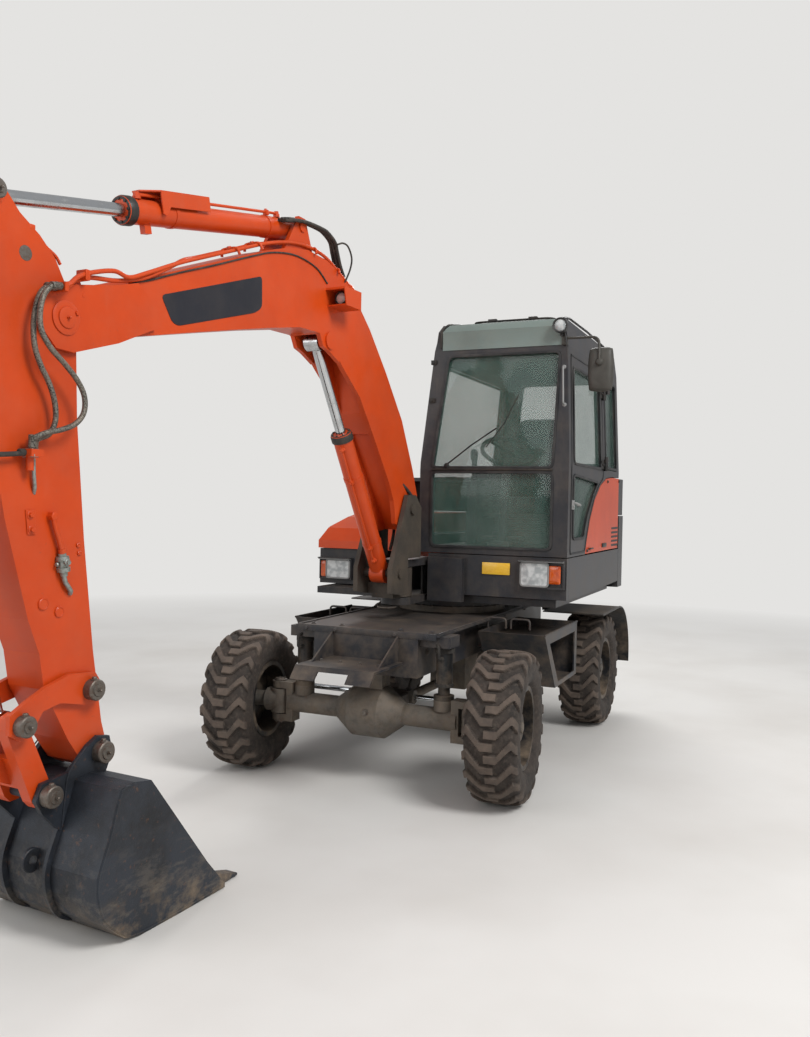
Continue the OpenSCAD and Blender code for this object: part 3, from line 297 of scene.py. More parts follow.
def worn_steel():
    """Bucket steel: dark blue-grey paint above, scoured bare metal and dried soil low down."""
    f = Finish("worn_bucket_steel", "#2b3038", 0.5, metal=0.2)
    f.over("#1a1b1e", f.noise(250, 7, 0.7, low=0.45, high=0.68))
    scour = f.noise(52, 9, 0.72, stretch=(0.35, 1.0, 1.0), low=0.5, high=0.62)
    f.over("#6f675d", f.maths("MULTIPLY", f.maths("MULTIPLY", scour, f.height(0.08, 0.42)), 0.55))
    f.over("#8d7b66", f.maths("MULTIPLY", f.noise(125, 8, 0.7, low=0.44, high=0.66), f.height(0.0, 0.20)))
    f.over("#6b4a34", f.maths("MULTIPLY", f.noise(23, 5, 0.6, low=0.62, high=0.72), 0.5))
    # Scratches by stones, 7 mm apart
    f.bump(f.noise(7, 6, 0.7, low=0.2, high=0.8), 0.0012, 0.7)
    return f.material


def rubber(name, colour, dust, amount=0.75, worn=None):
    """Vulcanised rubber: matt black under dry dust, finely pitted; worn is the colour of the lugs' tops.
    Given worn, painted shade darkens the grooves.
    """
    f = Finish(name, colour, 0.86)
    film = f.maths("MULTIPLY", f.noise(111, 8, 0.66, low=0.28, high=0.66), amount)
    if worn:
        lug = f.tree.nodes.new("ShaderNodeAttribute")
        lug.attribute_name = "lift"
        f.over(worn, f.ramp(lug.outputs["Fac"], 0.55, 0.95))
        # Painted shade: the dust film falls to a third in the grooves between the lugs, so that they come out
        # dark.
        film = f.maths("MULTIPLY", film, f.maths("ADD", f.maths("MULTIPLY", lug.outputs["Fac"], 0.65), 0.35))
    f.over(dust, film)
    f.over("#5b5148", f.maths("MULTIPLY", f.noise(23, 6, 0.6, low=0.5, high=0.72), 0.6))
    f.bump(f.noise(3, 4, 0.65, low=0.2, high=0.8), 0.0007, 0.6)
    return f.material


def braided():
    """Steel-wire braid over a hose: a grey weave of 5 mm with dirt between the wires."""
    f = Finish("wire_braid", "#7b7870", 0.5, metal=0.6)
    f.over("#35322d", f.noise(5, 3, 0.6, low=0.45, high=0.6))
    f.over("#8b7f70", f.maths("MULTIPLY", f.noise(60, 6, 0.6, low=0.4, high=0.7), 0.6))
    f.bump(f.noise(5, 3, 0.6, low=0.3, high=0.7), 0.0012, 0.9)
    return f.material


def chrome():
    """Hard chrome on a piston rod: mirror bright under an oily haze."""
    f = Finish("rod_chrome", "#c9ccce", 0.16, metal=1.0)
    haze = f.noise(83, 6, 0.6, low=0.45, high=0.72)
    f.over("#8d8a84", f.maths("MULTIPLY", haze, 0.45))
    f.roughness(0.12, 0.42, haze)
    return f.material


def steel(name="pin_steel", colour="#6f6962", stain="#5d4636"):
    """Bare pin and bolt steel with a dull brown bloom."""
    f = Finish(name, colour, 0.5, metal=0.7)
    f.over(stain, f.maths("MULTIPLY", f.noise(11, 5, 0.6, low=0.45, high=0.66), 0.6))
    f.bump(f.noise(2, 3, 0.6, low=0.2, high=0.8), 0.0003, 0.5)
    return f.material


def glass():
    """Green-tinted safety glass, seen through, with a faint film of dust."""
    f = Finish("cab_glass_tint", "#4f6d63", 0.04)
    f.shader.inputs["Alpha"].default_value = 0.30
    f.shader.inputs["IOR"].default_value = 1.5
    film = f.noise(333, 6, 0.6, low=0.4, high=0.8)
    f.over("#a9b8ae", f.maths("MULTIPLY", film, 0.45))
    f.roughness(0.03, 0.12, film)
    return f.material


def mirror():
    """Silvered mirror glass."""
    f = Finish("mirror_glass", "#dfe3e4", 0.03, metal=1.0)
    f.over("#b9b6ae", f.maths("MULTIPLY", f.noise(60, 6, 0.6, low=0.5, high=0.9), 0.3))
    return f.material


def plastic(name, colour, rough=0.55):
    """Moulded trim plastic with a fine leather-like grain and a grey bloom."""
    f = Finish(name, colour, rough)
    f.over("#6c6862", f.maths("MULTIPLY", f.noise(143, 7, 0.65, low=0.42, high=0.75), 0.3))
    f.bump(f.noise(1.5, 3, 0.5, low=0.3, high=0.7), 0.0002, 0.5)
    return f.material


def lens(name, colour, pale, ribs=17.0, amount=0.3):
    """Moulded lamp lens: upright flutes over darker mottling, with painted highlights as white bands along
    the flutes.
    """
    f = Finish(name, colour, 0.10, coat=0.4)
    w = f.tree.nodes.new("ShaderNodeTexWave")
    # A wave texture's bands are 2 pi / 20 of a unit wide at scale 1.
    w.inputs["Scale"].default_value = 1000.0 / ribs * 0.314
    f.link(f.mapped((0, 1, 0)), w.inputs["Vector"])
    f.over(pale, f.maths("MULTIPLY", f.noise(45, 3, 0.5, low=0.42, high=0.6), 0.8))
    # Painted highlight: white bands along the flutes stand in for their glints.
    f.over("#ffffff", f.maths("MULTIPLY", w.outputs["Fac"], amount))
    f.bump(w.outputs["Fac"], 0.0008, 0.5)
    return f.material


def prisms():
    """Reflector plastic: a field of 6 mm prisms with painted glints, each paler towards its edge."""
    f = Finish("yellow_reflector", "#e0a416", 0.25, coat=0.3)
    v = f.node("ShaderNodeTexVoronoi", Scale=1000.0 / 6.0)
    f.link(f.mapped((0, 1, 1)), v.inputs["Vector"])
    # Painted highlight: each prism's colour turns paler towards its edge, for the light it catches.
    f.over("#f2c63c", f.maths("MULTIPLY", f.ramp(v.outputs["Distance"], 0.1, 0.6), 0.7))
    f.bump(v.outputs["Distance"], 0.0008, 0.6)
    return f.material


def cloth():
    """Coarse woven seat cover under a clear film: 3 mm threads, worn grey on the crests."""
    f = Finish("seat_weave", "#2a2b2e", 0.8, coat=0.35)
    warp = f.noise(3, 2, 0.5, stretch=(1, 0.15, 1), low=0.35, high=0.65)
    f.over("#45474b", f.maths("MULTIPLY", warp, 0.6))
    f.over("#6d675f", f.maths("MULTIPLY", f.noise(125, 6, 0.6, low=0.45, high=0.8), 0.25))
    f.bump(warp, 0.0004, 0.8)
    return f.material


FINISHES = {}


def build_finishes(colours):
    """Makes every material once and gives the shown CAD nodes theirs."""
    soil = colours.dust
    FINISHES.update(
        # Sprayed enamel of the boom, arm and covers: a strong flat orange with a low sheen and few chips.
        orange=paint("orange_enamel", colours.paint, "#a93408", soil, 0.22, 0.40, -0.9, 0.9),
        # The same enamel on frames and cab: dark and cool, so that its dust shows as a warm film.
        charcoal=paint("charcoal_enamel", colours.frame, "#1d1f22", soil, 0.38, 0.42, 0.0, 1.1),
        # Black enamel on small steel parts: deeper than the frame, which sets them off.
        black=paint("black_enamel", "#1b1d1f", "#101112", soil, 0.50, 0.45, 0.0, 1.0),
        # Pale green-grey enamel of the roof's visor: the one light band on the cab.
        visor=paint("roof_visor_enamel", "#74827d", "#5d6965", soil, 0.30, 0.4, 0.0, 0.5),
        # Grey enamel of bezels and the grab rail: a thin light line round dark openings.
        trim=paint("grey_bezel_enamel", "#8b8c8b", "#6d6e6d", soil, 0.30, 0.4, 0.0, 0.5),
        # Dark film on the boom's side plate: smoother than the paint, and bare.
        decal=paint("dark_film", "#23242b", "#1c1d22", soil, 0.15, 0.35, -1.0, 0.0),
        # Dirty castings of axles and hubs: brown-grey, grainy and dull.
        cast=cast("dirty_casting", "#5f5d59", soil),
        # The swing bracket's casting: darker, with pale soil lying in its skin.
        bracket=cast("swing_bracket_casting", "#3d3935", "#6d5f50", 0.45),
        # Bucket steel: dark above, scoured and earthy where it digs.
        bucket=worn_steel(),
        # Tyre rubber: paler where the lugs are worn, and darker in the grooves, where the dust is thinned as
        # painted shade.
        rubber=rubber("dusty_tyre", "#1f1c1a", "#75665a", 0.7, "#3f3833"),
        # Hose rubber: near black with a little dust, so that lines read against the paint.
        hose=rubber("hose_rubber", "#171718", "#6f675c", 0.30),
        # Wire braid of the tip hoses: a grey glitter with dirt between the wires.
        braid=braided(),
        # Rod chrome: the brightest thing on the machine, softened by an oily haze.
        chrome=chrome(),
        # Bare pins and bolts: mid grey with a brown bloom.
        pin=steel(),
        # Zinc-plated fittings: cooler and lighter than the pins.
        plated=steel("plated_fitting", "#9aa09b", "#6d6a5c"),
        # Tinted safety glass: green at the edges of view, with the cab's inside seen through.
        glass=glass(),
        # Silvered glass: a clear reflection under a trace of dust.
        mirror=mirror(),
        # Black moulded trim and seals: soft, with no sharp glint.
        plastic=plastic("black_trim", "#1c1d1f"),
        # Grey moulded plastic of the mirror's shell and the seat's piping.
        grey=plastic("grey_trim", "#37352f"),
        # Clear lamp lenses: fluted, with painted highlights in white bands for their sparkle.
        lens=lens("clear_lens", "#c9cccb", "#8f9596"),
        # Amber turn lenses: a warm point beside each head lamp.
        amber=lens("amber_lens", "#c9571b", "#a83c10", 9.0, 0.1),
        # Red tail lenses.
        red=lens("red_lens", "#a91a14", "#7d0f0c", 9.0, 0.1),
        # Yellow reflector: 6 mm prisms with painted glints, each paler towards its edge.
        yellow=prisms(),
        # Woven seat cover: dark, with grey on the crests of the threads.
        weave=cloth(),
    )
    slots = {
        "orange_paint": "orange",
        "charcoal_paint": "charcoal",
        "black_paint": "black",
        "cast_steel": "cast",
        "worn_steel": "bucket",
        "rod_chrome": "chrome",
        "tyre_rubber": "rubber",
        "window_glass": "glass",
        "lamp_lens": "lens",
        "amber_lens": "amber",
        "red_lens": "red",
        "hose_rubber": "hose",
        "trim_plastic": "plastic",
        "seat_fabric": "weave",
    }
    special = {"swing_bracket": "bracket"}
    for part in frame["record"]["subparts"]:
        name = part["node"]
        node = frame["nodes"][name]
        finish = FINISHES[special.get(name, slots[part["material_slot"]])]
        node.data.materials.clear()
        node.data.materials.append(finish)


def piece(name, verts, faces, body, finish, smooth=40.0):
    """A finished mesh at the origin that rides on a body; smooth is the crease angle in degrees."""
    data = bpy.data.meshes.new(name)
    data.from_pydata(np.asarray(verts).tolist(), [], [tuple(f) for f in faces])
    data.validate()
    if smooth:
        bm = bmesh.new()
        bm.from_mesh(data)
        limit = np.radians(smooth)
        for face in bm.faces:
            face.smooth = True
        for edge in bm.edges:
            edge.smooth = bool(edge.is_manifold and edge.calc_face_angle(0.0) < limit)
        bm.to_mesh(data)
        bm.free()
    data.materials.append(FINISHES[finish])
    obj = bpy.data.objects.new(name, data)
    bpy.context.scene.collection.objects.link(obj)
    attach(obj, body)
    return obj


def carried(path, closed=False):
    """Directions along a path and two that stay square to it: t, u and v, each carried from the last."""
    p = np.asarray(path, float)
    t = np.roll(p, -1, 0) - np.roll(p, 1, 0) if closed else np.gradient(p, axis=0)
    t /= np.linalg.norm(t, axis=1)[:, None]
    u = np.cross(t[0], [0.31, 0.17, 0.93])
    us = []
    for d in t:
        u = u - d * np.dot(u, d)
        u /= np.linalg.norm(u)
        us.append(u)
    us = np.array(us)
    return t, us, np.cross(t, us)


class Shape:
    """Vertices and faces gathered from several closed solids, in the millimetres of a place."""

    def __init__(self, place):
        self.place = place
        self.verts = []
        self.faces = []
        self.count = 0

    def add(self, verts, faces):
        """Adds a closed solid; its faces are turned over if its signed volume comes out negative."""
        verts = self.place(verts)
        faces = [tuple(int(i) for i in f) for f in faces]
        fans = np.array([(f[0], b, c) for f in faces for b, c in zip(f[1:], f[2:])])
        p = verts - verts.mean(0)
        if np.einsum("ij,ij->", p[fans[:, 0]], np.cross(p[fans[:, 1]], p[fans[:, 2]])) < 0:
            faces = [f[::-1] for f in faces]
        self.verts.append(verts)
        self.faces.extend([tuple(i + self.count for i in f) for f in faces])
        self.count += len(verts)

    def loft(self, rings, closed=False):
        """Skins rings of equal length, with a cap on each open end."""
        rings = np.asarray(rings, float)
        k, n = rings.shape[:2]
        faces = []
        for i in range(k if closed else k - 1):
            a, b = i * n, ((i + 1) % k) * n
            for j in range(n):
                faces.append((a + j, a + (j + 1) % n, b + (j + 1) % n, b + j))
        if not closed:
            faces.append(tuple(range(n))[::-1])
            faces.append(tuple((k - 1) * n + j for j in range(n)))
        self.add(rings.reshape(-1, 3), faces)

    def tube(self, path, radius, sides=12, closed=False):
        """A pipe along a path: ring i is path[i] + r (cos a * u + sin a * v)."""
        p = np.asarray(path, float)
        _, u, v = carried(p, closed)
        r = np.broadcast_to(np.asarray(radius, float), (len(p),))[:, None, None]
        a = np.linspace(0, 2 * np.pi, sides, endpoint=False)[None, :, None]
        self.loft(p[:, None] + r * (np.cos(a) * u[:, None] + np.sin(a) * v[:, None]), closed)

    def rim(self, path, normal, width, depth, sides=8):
        """A closed moulding on a face: width to each side of the path, depth to each side of the face."""
        p = np.asarray(path, float)
        n = np.asarray(normal, float)
        t = np.roll(p, -1, 0) - np.roll(p, 1, 0)
        t -= (t @ n)[:, None] * n
        t /= np.linalg.norm(t, axis=1)[:, None]
        side = np.cross(n, t)
        a = np.linspace(0, 2 * np.pi, sides, endpoint=False)[None, :, None]
        # A squared circle: each coordinate's root makes the section nearly a rectangle.
        c, s = np.cos(a), np.sin(a)
        c, s = np.sign(c) * np.abs(c) ** 0.6, np.sign(s) * np.abs(s) ** 0.6
        self.loft(p[:, None] + width * c * side[:, None] + depth * s * n, True)

    def turned(self, base, axis, profile, sides=24):
        """A turned solid: profile is (distance along the axis, radius) pairs."""
        axis = np.asarray(axis, float) / np.linalg.norm(axis)
        u = np.cross(axis, Z if abs(axis[2]) < 0.9 else X)
        u /= np.linalg.norm(u)
        v = np.cross(axis, u)
        a = np.linspace(0, 2 * np.pi, sides, endpoint=False)
        ring = np.cos(a)[:, None] * u + np.sin(a)[:, None] * v
        self.loft([np.asarray(base, float) + axis * h + ring * r for h, r in profile])

    def ring(self, base, axis, profile, sides=48):
        """A turned ring: profile is a closed outline of (distance along the axis, radius) pairs."""
        axis = np.asarray(axis, float) / np.linalg.norm(axis)
        u = np.cross(axis, Z if abs(axis[2]) < 0.9 else X)
        u /= np.linalg.norm(u)
        v = np.cross(axis, u)
        prof = np.asarray(profile, float)
        a = np.linspace(0, 2 * np.pi, sides, endpoint=False)
        out = np.cos(a)[:, None] * u + np.sin(a)[:, None] * v
        self.loft(np.asarray(base, float) + prof[None, :, :1] * axis + prof[None, :, 1:] * out[:, None], True)

    def bolt(self, base, axis, size=12.0, washer=True):
        """A hexagon head on its washer; size is half the width across its corners."""
        if washer:
            profile = [(0, 1.5), (0.2, 1.5), (0.3, 1.35)]
            self.turned(base, axis, [(h * size, r * size) for h, r in profile], 16)
        self.turned(base, axis, [(size * 0.2, size), (size * 0.95, size), (size * 1.1, size * 0.86)], 6)

    def bolts(self, centre, axis, u, v, radius, count, size, start=0.0, washer=True):
        """Bolts on a circle: centre + radius (cos t * u + sin t * v), with t in even steps from start."""
        for t in start + 2 * np.pi * np.arange(count) / count:
            self.bolt(centre + radius * (np.cos(t) * u + np.sin(t) * v), axis, size, washer)

    def nipple(self, base, axis):
        """A grease nipple: a hexagon foot and a ball head."""
        self.turned(base, axis, [(0, 7), (5, 7)], 6)
        self.turned(base, axis, [(5, 3.5), (9, 3.5), (11, 5), (14, 5), (16, 3), (17, 1.5)], 12)

    def block(self, low, high, bevel=3.0):
        """A box with rounded edges between two corners."""
        low, high = np.asarray(low, float), np.asarray(high, float)
        bm = bmesh.new()
        bmesh.ops.create_cube(bm, size=1.0)
        centre, size = (low + high) / 2, high - low
        for v in bm.verts:
            v.co = Vector(centre + np.array(v.co) * size)
        bmesh.ops.bevel(bm, geom=bm.edges[:], offset=min(bevel, size.min() * 0.45), segments=2, profile=0.6,
                        affect="EDGES")
        bm.verts.index_update()
        verts = np.array([v.co for v in bm.verts])
        faces = [[v.index for v in f.verts] for f in bm.faces]
        bm.free()
        self.add(verts, faces)

    def plate(self, outline, across, y0, y1, chamfer=1.5):
        """A plate with chamfered edges: an outline of (a, b) on the axes named by across, from y0 to y1."""
        p = np.asarray(outline, float)
        e = np.roll(p, -1, 0) - p
        if np.sum(p[:, 0] * np.roll(p[:, 1], -1) - p[:, 1] * np.roll(p[:, 0], -1)) < 0:
            p, e = p[::-1], np.roll(p[::-1], -1, 0) - p[::-1]
        e /= np.linalg.norm(e, axis=1)[:, None]
        inward = np.stack([-e[:, 1], e[:, 0]], 1)
        mitre = inward + np.roll(inward, 1, 0)
        mitre /= np.maximum((mitre * inward).sum(1), 0.5)[:, None]
        small = p + mitre * chamfer
        i, j = ("xyz".index(c) for c in across)
        k = 3 - i - j
        rings = []
        for q, h in ((small, y0), (p, y0 + chamfer), (p, y1 - chamfer), (small, y1)):
            ring = np.zeros((len(p), 3))
            ring[:, i], ring[:, j], ring[:, k] = q[:, 0], q[:, 1], h
            rings.append(ring)
        self.loft(rings)

    def make(self, name, body, finish, smooth=40.0):
        """Turns what was gathered into one finished piece."""
        return piece(name, np.concatenate(self.verts), self.faces, body, finish, smooth)


def rounded(points, radius=30.0, steps=5, closed=False):
    """A path whose corners are turned into arcs: each corner is replaced by a quadratic curve."""
    p = np.asarray(points, float)
    trio = zip(np.roll(p, 1, 0), p, np.roll(p, -1, 0)) if closed else zip(p, p[1:], p[2:])
    out = [] if closed else [p[0]]
    for a, b, c in trio:
        d = min(radius, np.linalg.norm(b - a) * 0.45, np.linalg.norm(c - b) * 0.45)
        s = b + (a - b) / np.linalg.norm(a - b) * d
        e = b + (c - b) / np.linalg.norm(c - b) * d
        for t in np.linspace(0, 1, steps):
            out.append((1 - t) ** 2 * s + 2 * t * (1 - t) * b + t * t * e)
    if not closed:
        out.append(p[-1])
    return np.array(out)


def smooth_path(points, steps=6):
    """A curve through its points: on each span the cubic whose end slopes are half the neighbours' chord."""
    p = np.asarray(points, float)
    q = np.concatenate([[2 * p[0] - p[1]], p, [2 * p[-1] - p[-2]]])
    t = np.linspace(0, 1, steps, endpoint=False)[:, None]
    spans = []
    for a, b, c, d in zip(q, q[1:], q[2:], q[3:]):
        m, n = (c - a) / 2, (d - b) / 2
        spans.append((2 * t**3 - 3 * t**2 + 1) * b + (t**3 - 2 * t**2 + t) * m
                     + (3 * t**2 - 2 * t**3) * c + (t**3 - t**2) * n)
    return np.concatenate(spans + [p[-1:]])


def flat(points, y):
    """(forward, up) points at one distance to the left."""
    p = np.asarray(points, float)
    return np.stack([p[:, 0], np.full(len(p), float(y)), p[:, 1]], 1)


def smoothstep(x):
    """0 below 0, 1 above 1, and x^2 (3 - 2 x) between them."""
    x = np.clip(x, 0, 1)
    return x * x * (3 - 2 * x)


WHEELS = ("front_left", "front_right", "rear_left", "rear_right")


class ExcavatorColours(bpy.types.PropertyGroup):
    """Colours of the paints, as sRGB hex codes."""

    paint: bpy.props.StringProperty(
        name="Paint", description="Colour of the boom and covers", default="#c8430a")
    frame: bpy.props.StringProperty(
        name="Frame", description="Colour of the frames and the cab", default="#2c2d31")
    dust: bpy.props.StringProperty(
        name="Dust", description="Colour of the dried dust", default="#8c7a66")


class ExcavatorTyres(bpy.types.PropertyGroup):
    """Sizes of the tread."""

    lugs: bpy.props.IntProperty(
        name="Lugs", description="Lugs on each side of a tyre", default=20, min=12, max=28)
    height: bpy.props.FloatProperty(
        name="Lug height", description="How far a lug stands out of the tread", default=0.0185, unit="LENGTH")
    width: bpy.props.FloatProperty(
        name="Lug width", description="Width of a lug at its top", default=0.042, unit="LENGTH")


class ExcavatorSeat(bpy.types.PropertyGroup):
    """Sizes of the seat's cushions."""

    crown: bpy.props.FloatProperty(
        name="Crown", description="How far a cushion bulges at its middle", default=0.022, unit="LENGTH")


class EXCAVATOR_OT_finishes(bpy.types.Operator):
    """Make the materials and give them to the solids"""

    bl_idname = "excavator.finishes"
    bl_label = "Finishes"

    def execute(self, context):
        build_finishes(context.scene.excavator_colours)
        return {"FINISHED"}


class EXCAVATOR_OT_tyres(bpy.types.Operator):
    """Build the four lugged tyres over their solids"""

    bl_idname = "excavator.tyres"
    bl_label = "Tyres"

    def execute(self, context):
        for name in WHEELS:
            self.tyre(name, context.scene.excavator_tyres)
        return {"FINISHED"}

    def tyre(self, name, sizes):
        """A carcass lifted by lugs: p(a, s) = c(s) + h L(a, s) n(s), turned by a about the axle.

        c is the carcass profile with normal n. L is 1 where a point lies within half a lug's width of a
        lug's middle line, and falls to 0 over the edge. The middle line runs straight over the crown, then
        trails by 12 degrees to the shoulder; the lugs of the outer half stand half a pitch on.
        """
        # Half of the carcass, from the bead to the crown, as (radius, distance from the middle)
        half = [
            (215.5, 108.5), (226, 109.5), (236, 118), (250, 133), (272, 142), (298, 147), (322, 147),
            (344, 143), (360, 137), (373, 129), (383, 118), (389.5, 104), (393, 88), (395, 66), (396, 44),
            (396.4, 26), (396.5, 12), (396.6, 0)]
        turns = 720
        edge = 4.5
        interlock = 27
        fine = []
        for a, b in zip(half, half[1:]):
            steps = 2 if b[0] < 360 else 3
            fine += [np.add(a, np.subtract(b, a) * k / steps) for k in range(steps)]
        fine = np.array(fine)
        prof = np.concatenate([fine, [half[-1]], fine[::-1] * [1, -1]])
        d = np.gradient(prof, axis=0)
        normal = np.stack([-d[:, 1], d[:, 0]], 1)
        normal /= np.linalg.norm(normal, axis=1)[:, None]
        turn = np.linspace(0, 360, turns, endpoint=False)[:, None]
        y, r = prof[:, 1][None], prof[:, 0][None]
        out = np.abs(y)
        pitch = 360 / sizes.lugs
        lead = 12 * np.clip((out - 42) / 71, 0, 1) - 8 * np.clip((out - 113) / 37, 0, 1)
        phase = (turn - 180 + lead - np.where(y > 0, pitch / 2, 0)) / pitch - 0.17
        off = np.abs(phase - np.round(phase)) * pitch * np.radians(r)
        width = sizes.width * 1000 * (1 + 0.2 * np.clip(out / 130, 0, 1))
        # A lug's inner end reaches past the middle line, so that the two halves interlock.
        other = (turn - 180 - np.where(y > 0, 0, pitch / 2)) / pitch - 0.17
        near = np.abs(other - np.round(other)) * pitch * np.radians(r)
        lift = smoothstep((width / 2 + 2 - off) / edge)
        bar = smoothstep((width / 2 + 2 - near) / edge) * smoothstep((interlock - out) / 5)
        # The lugs run out between 377 and 337 mm, down the side wall.
        lift = np.maximum(lift, bar) * smoothstep((r - 337) / 40)
        rise = lift * sizes.height * 1000
        # Two fine raised rings are moulded on the side wall.
        beads = 1.3 * np.exp(-(((r - 262) / 3.5) ** 2)) + 1.6 * np.exp(-(((r - 318) / 4) ** 2))
        pr = np.minimum(r + (rise + beads) * normal[:, 0], TYRE_R - 0.5)
        py = np.clip(y + (rise + beads) * normal[:, 1], -149.5, 149.5)
        a = np.radians(turn)
        s = Shape(wheel(name))
        s.loft(np.stack([pr * np.sin(a), py, pr * np.cos(a)], -1), True)
        obj = s.make("tread_" + name, "wheel_" + name, "rubber", 30.0)
        obj.data.attributes.new("lift", "FLOAT", "POINT").data.foreach_set("value", lift.ravel())
        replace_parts(obj, "tyre_" + name)


class EXCAVATOR_OT_wheel_fittings(bpy.types.Operator):
    """Add wheel nuts, hub bolts and valves"""

    bl_idname = "excavator.wheel_fittings"
    bl_label = "Wheel fittings"

    def execute(self, context):
        for name in WHEELS:
            s = Shape(wheel(name))
            s.bolts(22 * Y, Y, Z, X, 132, 10, 13)
            s.bolts(66 * Y, Y, Z, X, 83, 8, 7.5, np.pi / 8)
            s.turned((0, 88, 0), Y, [(0, 30), (10, 30), (14, 24)])
            s.tube([(0, 40, 186), (0, 70, 180), (0, 84, 172)], 4.5, 8)
            s.make("wheel_nuts_" + name, "wheel_" + name, "cast")
        return {"FINISHED"}


class EXCAVATOR_OT_boom(bpy.types.Operator):
    """Add the boom's pipes, hoses, clamps, wire, bare plate and lamp"""

    bl_idname = "excavator.boom"
    bl_label = "Boom fittings"

    def execute(self, context):
        self.pipes()
        self.hoses()
        self.plate()
        self.lamp()
        return {"FINISHED"}

    def pipes(self):
        """Pipes as tubes of 9 mm radius along curves through points read from the photo."""
        near = [(635, 90, 2818), (753, 90, 2866), (928, 90, 2931), (1149, 90, 2937), (1386, 90, 2882),
                (1668, 90, 2774), (1900, 90, 2682), (2060, 106, 2618), (2256, 122, 2530), (2360, 128, 2488),
                (2438, 130, 2494), (2546, 136, 2464), (2630, 150, 2428), (2680, 160, 2388), (2708, 160, 2372)]
        far = [(635, 30, 2816), (753, 30, 2866), (928, 30, 2930), (1149, 30, 2936), (1386, 30, 2884),
               (1668, 30, 2776), (1860, 34, 2700), (1990, 72, 2652), (2110, 106, 2590), (2256, 108, 2512),
               (2400, 108, 2468), (2540, 110, 2448), (2620, 122, 2418), (2668, 134, 2384), (2708, 134, 2372)]
        s = Shape(plane)
        for path in (near, far):
            s.tube(smooth_path(path), 9)
            for k in (0, -1):
                a, b = np.array(path[k]), np.array(path[1 if k == 0 else -2])
                t = (b - a) / np.linalg.norm(b - a)
                s.turned(a, t, [(0, 15), (20, 15), (22, 12), (34, 12), (36, 9)], 6)
        s.make("boom_pipes", "boom", "orange")
        s = Shape(plane)
        for u, z, slope in ((1668, 2774, -0.40), (1500, 2841, -0.38), (1030, 2936, 0.02), (800, 2884, 0.42)):
            t = np.array([1, 0, slope]) / np.hypot(1, slope)
            up = np.array([-t[2], 0, t[0]])
            c = np.array([u, 60, z])
            bow = [(-52, -22), (-46, 8), (0, 12), (46, 8), (52, -22)]
            s.tube(rounded([c + y * Y + rise * up for y, rise in bow], 20), 7, 8)
            s.bolt(c + 10 * up, up, 10)
        s.tube(rounded([(2548, 108, 2330), (2616, 108, 2404), (2597, 108, 2433)], 10), 5, 6)
        s.plate([(2548, 2326), (2620, 2398), (2600, 2436), (2588, 2430)], "xz", 100, 110)
        s.bolt((2576, 110, 2372), Y, 9)
        s.block((2580, 104, 2422), (2602, 156, 2462), 4)
        # The tip pin's boss with its keeper plate, on both sides of the fork
        for side in (1, -1):
            s.turned((TIP_PIN[0], side * 119, TIP_PIN[1]), side * Y,
                     [(0, 62), (5, 62), (7, 56), (7, 40), (12, 38), (14, 30)], 32)
            s.bolt((TIP_PIN[0] - 44, side * 123, TIP_PIN[1] + 24), side * Y, 9)
            s.nipple((TIP_PIN[0], side * 132, TIP_PIN[1]), side * Y)
        s.make("boom_clamps", "boom", "orange")
        s = Shape(plane)
        s.tube(smooth_path([(2380, 101, 2452), (2346, 100, 2460), (2287, 100, 2489),
                            (2215, 99, 2513), (2051, 99, 2580), (1814, 99, 2670), (1550, 99, 2775),
                            (1380, 99, 2835), (1190, 99, 2866), (1010, 99, 2848), (900, 99, 2790)]), 4, 8)
        s.make("boom_wire", "boom", "hose")

    def hoses(self):
        """Hoses as tubes through points along the boom and down to the swing bracket, and the braided tip
        hoses.
        """
        for k, (lat, lift) in enumerate(((106, -4), (88, 0), (70, 2))):
            path = [(1283, lat - 16, 3024 + lift), (1190, lat, 3046 + lift), (1091, lat, 3060 + lift),
                    (960, lat, 3064 + lift), (888, lat - 10, 3060 + lift), (812, lat - 20, 3036 + lift),
                    (778, lat - 26, 2988), (740, lat - 30, 2926), (700, lat - 30, 2872)]
            s = Shape(plane)
            s.tube(smooth_path(path), 9)
            s.turned((1262, lat - 14, 3030 + lift), (-0.93, 0.1, 0.25), [(0, 13), (44, 13), (48, 10)], 12)
            obj = s.make(f"boom_hose_{k}", "boom", "hose")
            obj.parent = None
            point(plane, 1130, lat, 3050)
            point(plane, 800, lat - 20, 3030)
            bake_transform(obj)
        s = Shape(plane)
        s.tube(smooth_path([(812, 100, 3020), (760, 104, 3040), (707, 104, 3034), (668, 104, 2983),
                            (680, 104, 2920), (727, 102, 2838)]), 5, 10)
        s.make("boom_loop", "boom", "hose")
        # Down the boom's back to the swing bracket
        s = Shape(plane)
        for lat in (60, 40, 18, -12, -34):
            s.tube(smooth_path([(692, lat, 2862), (664, lat, 2806), (610, lat, 2700), (500, lat, 2480),
                                (390, lat, 2240), (300, lat, 2030)]), 9)
        for u, z in ((560, 2608), (420, 2310)):
            s.block((u - 6, -60, z - 14), (u + 26, 86, z + 14), 6)
        s.make("boom_back_hoses", "boom", "hose")
        s = Shape(plane)
        for top, low in ((60, 118), (40, 88), (18, 52), (-12, 14), (-34, -30)):
            mid = (top + low) / 2
            s.tube(smooth_path([(300, top, 2030), (216, top, 1900), (110, top, 1810), (-20, mid, 1740),
                                (-120, low, 1640), (-140, low, 1520), (-120, low, 1410),
                                (-84, low, 1330)]), 10)
        obj = s.make("boom_foot_hoses", "boom", "hose")
        obj.parent = None
        point(plane, 200, 0, 1880)
        point(plane, -120, 0, 1440)
        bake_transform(obj)
        for k in (0, 1):
            self.tip_hose(k)

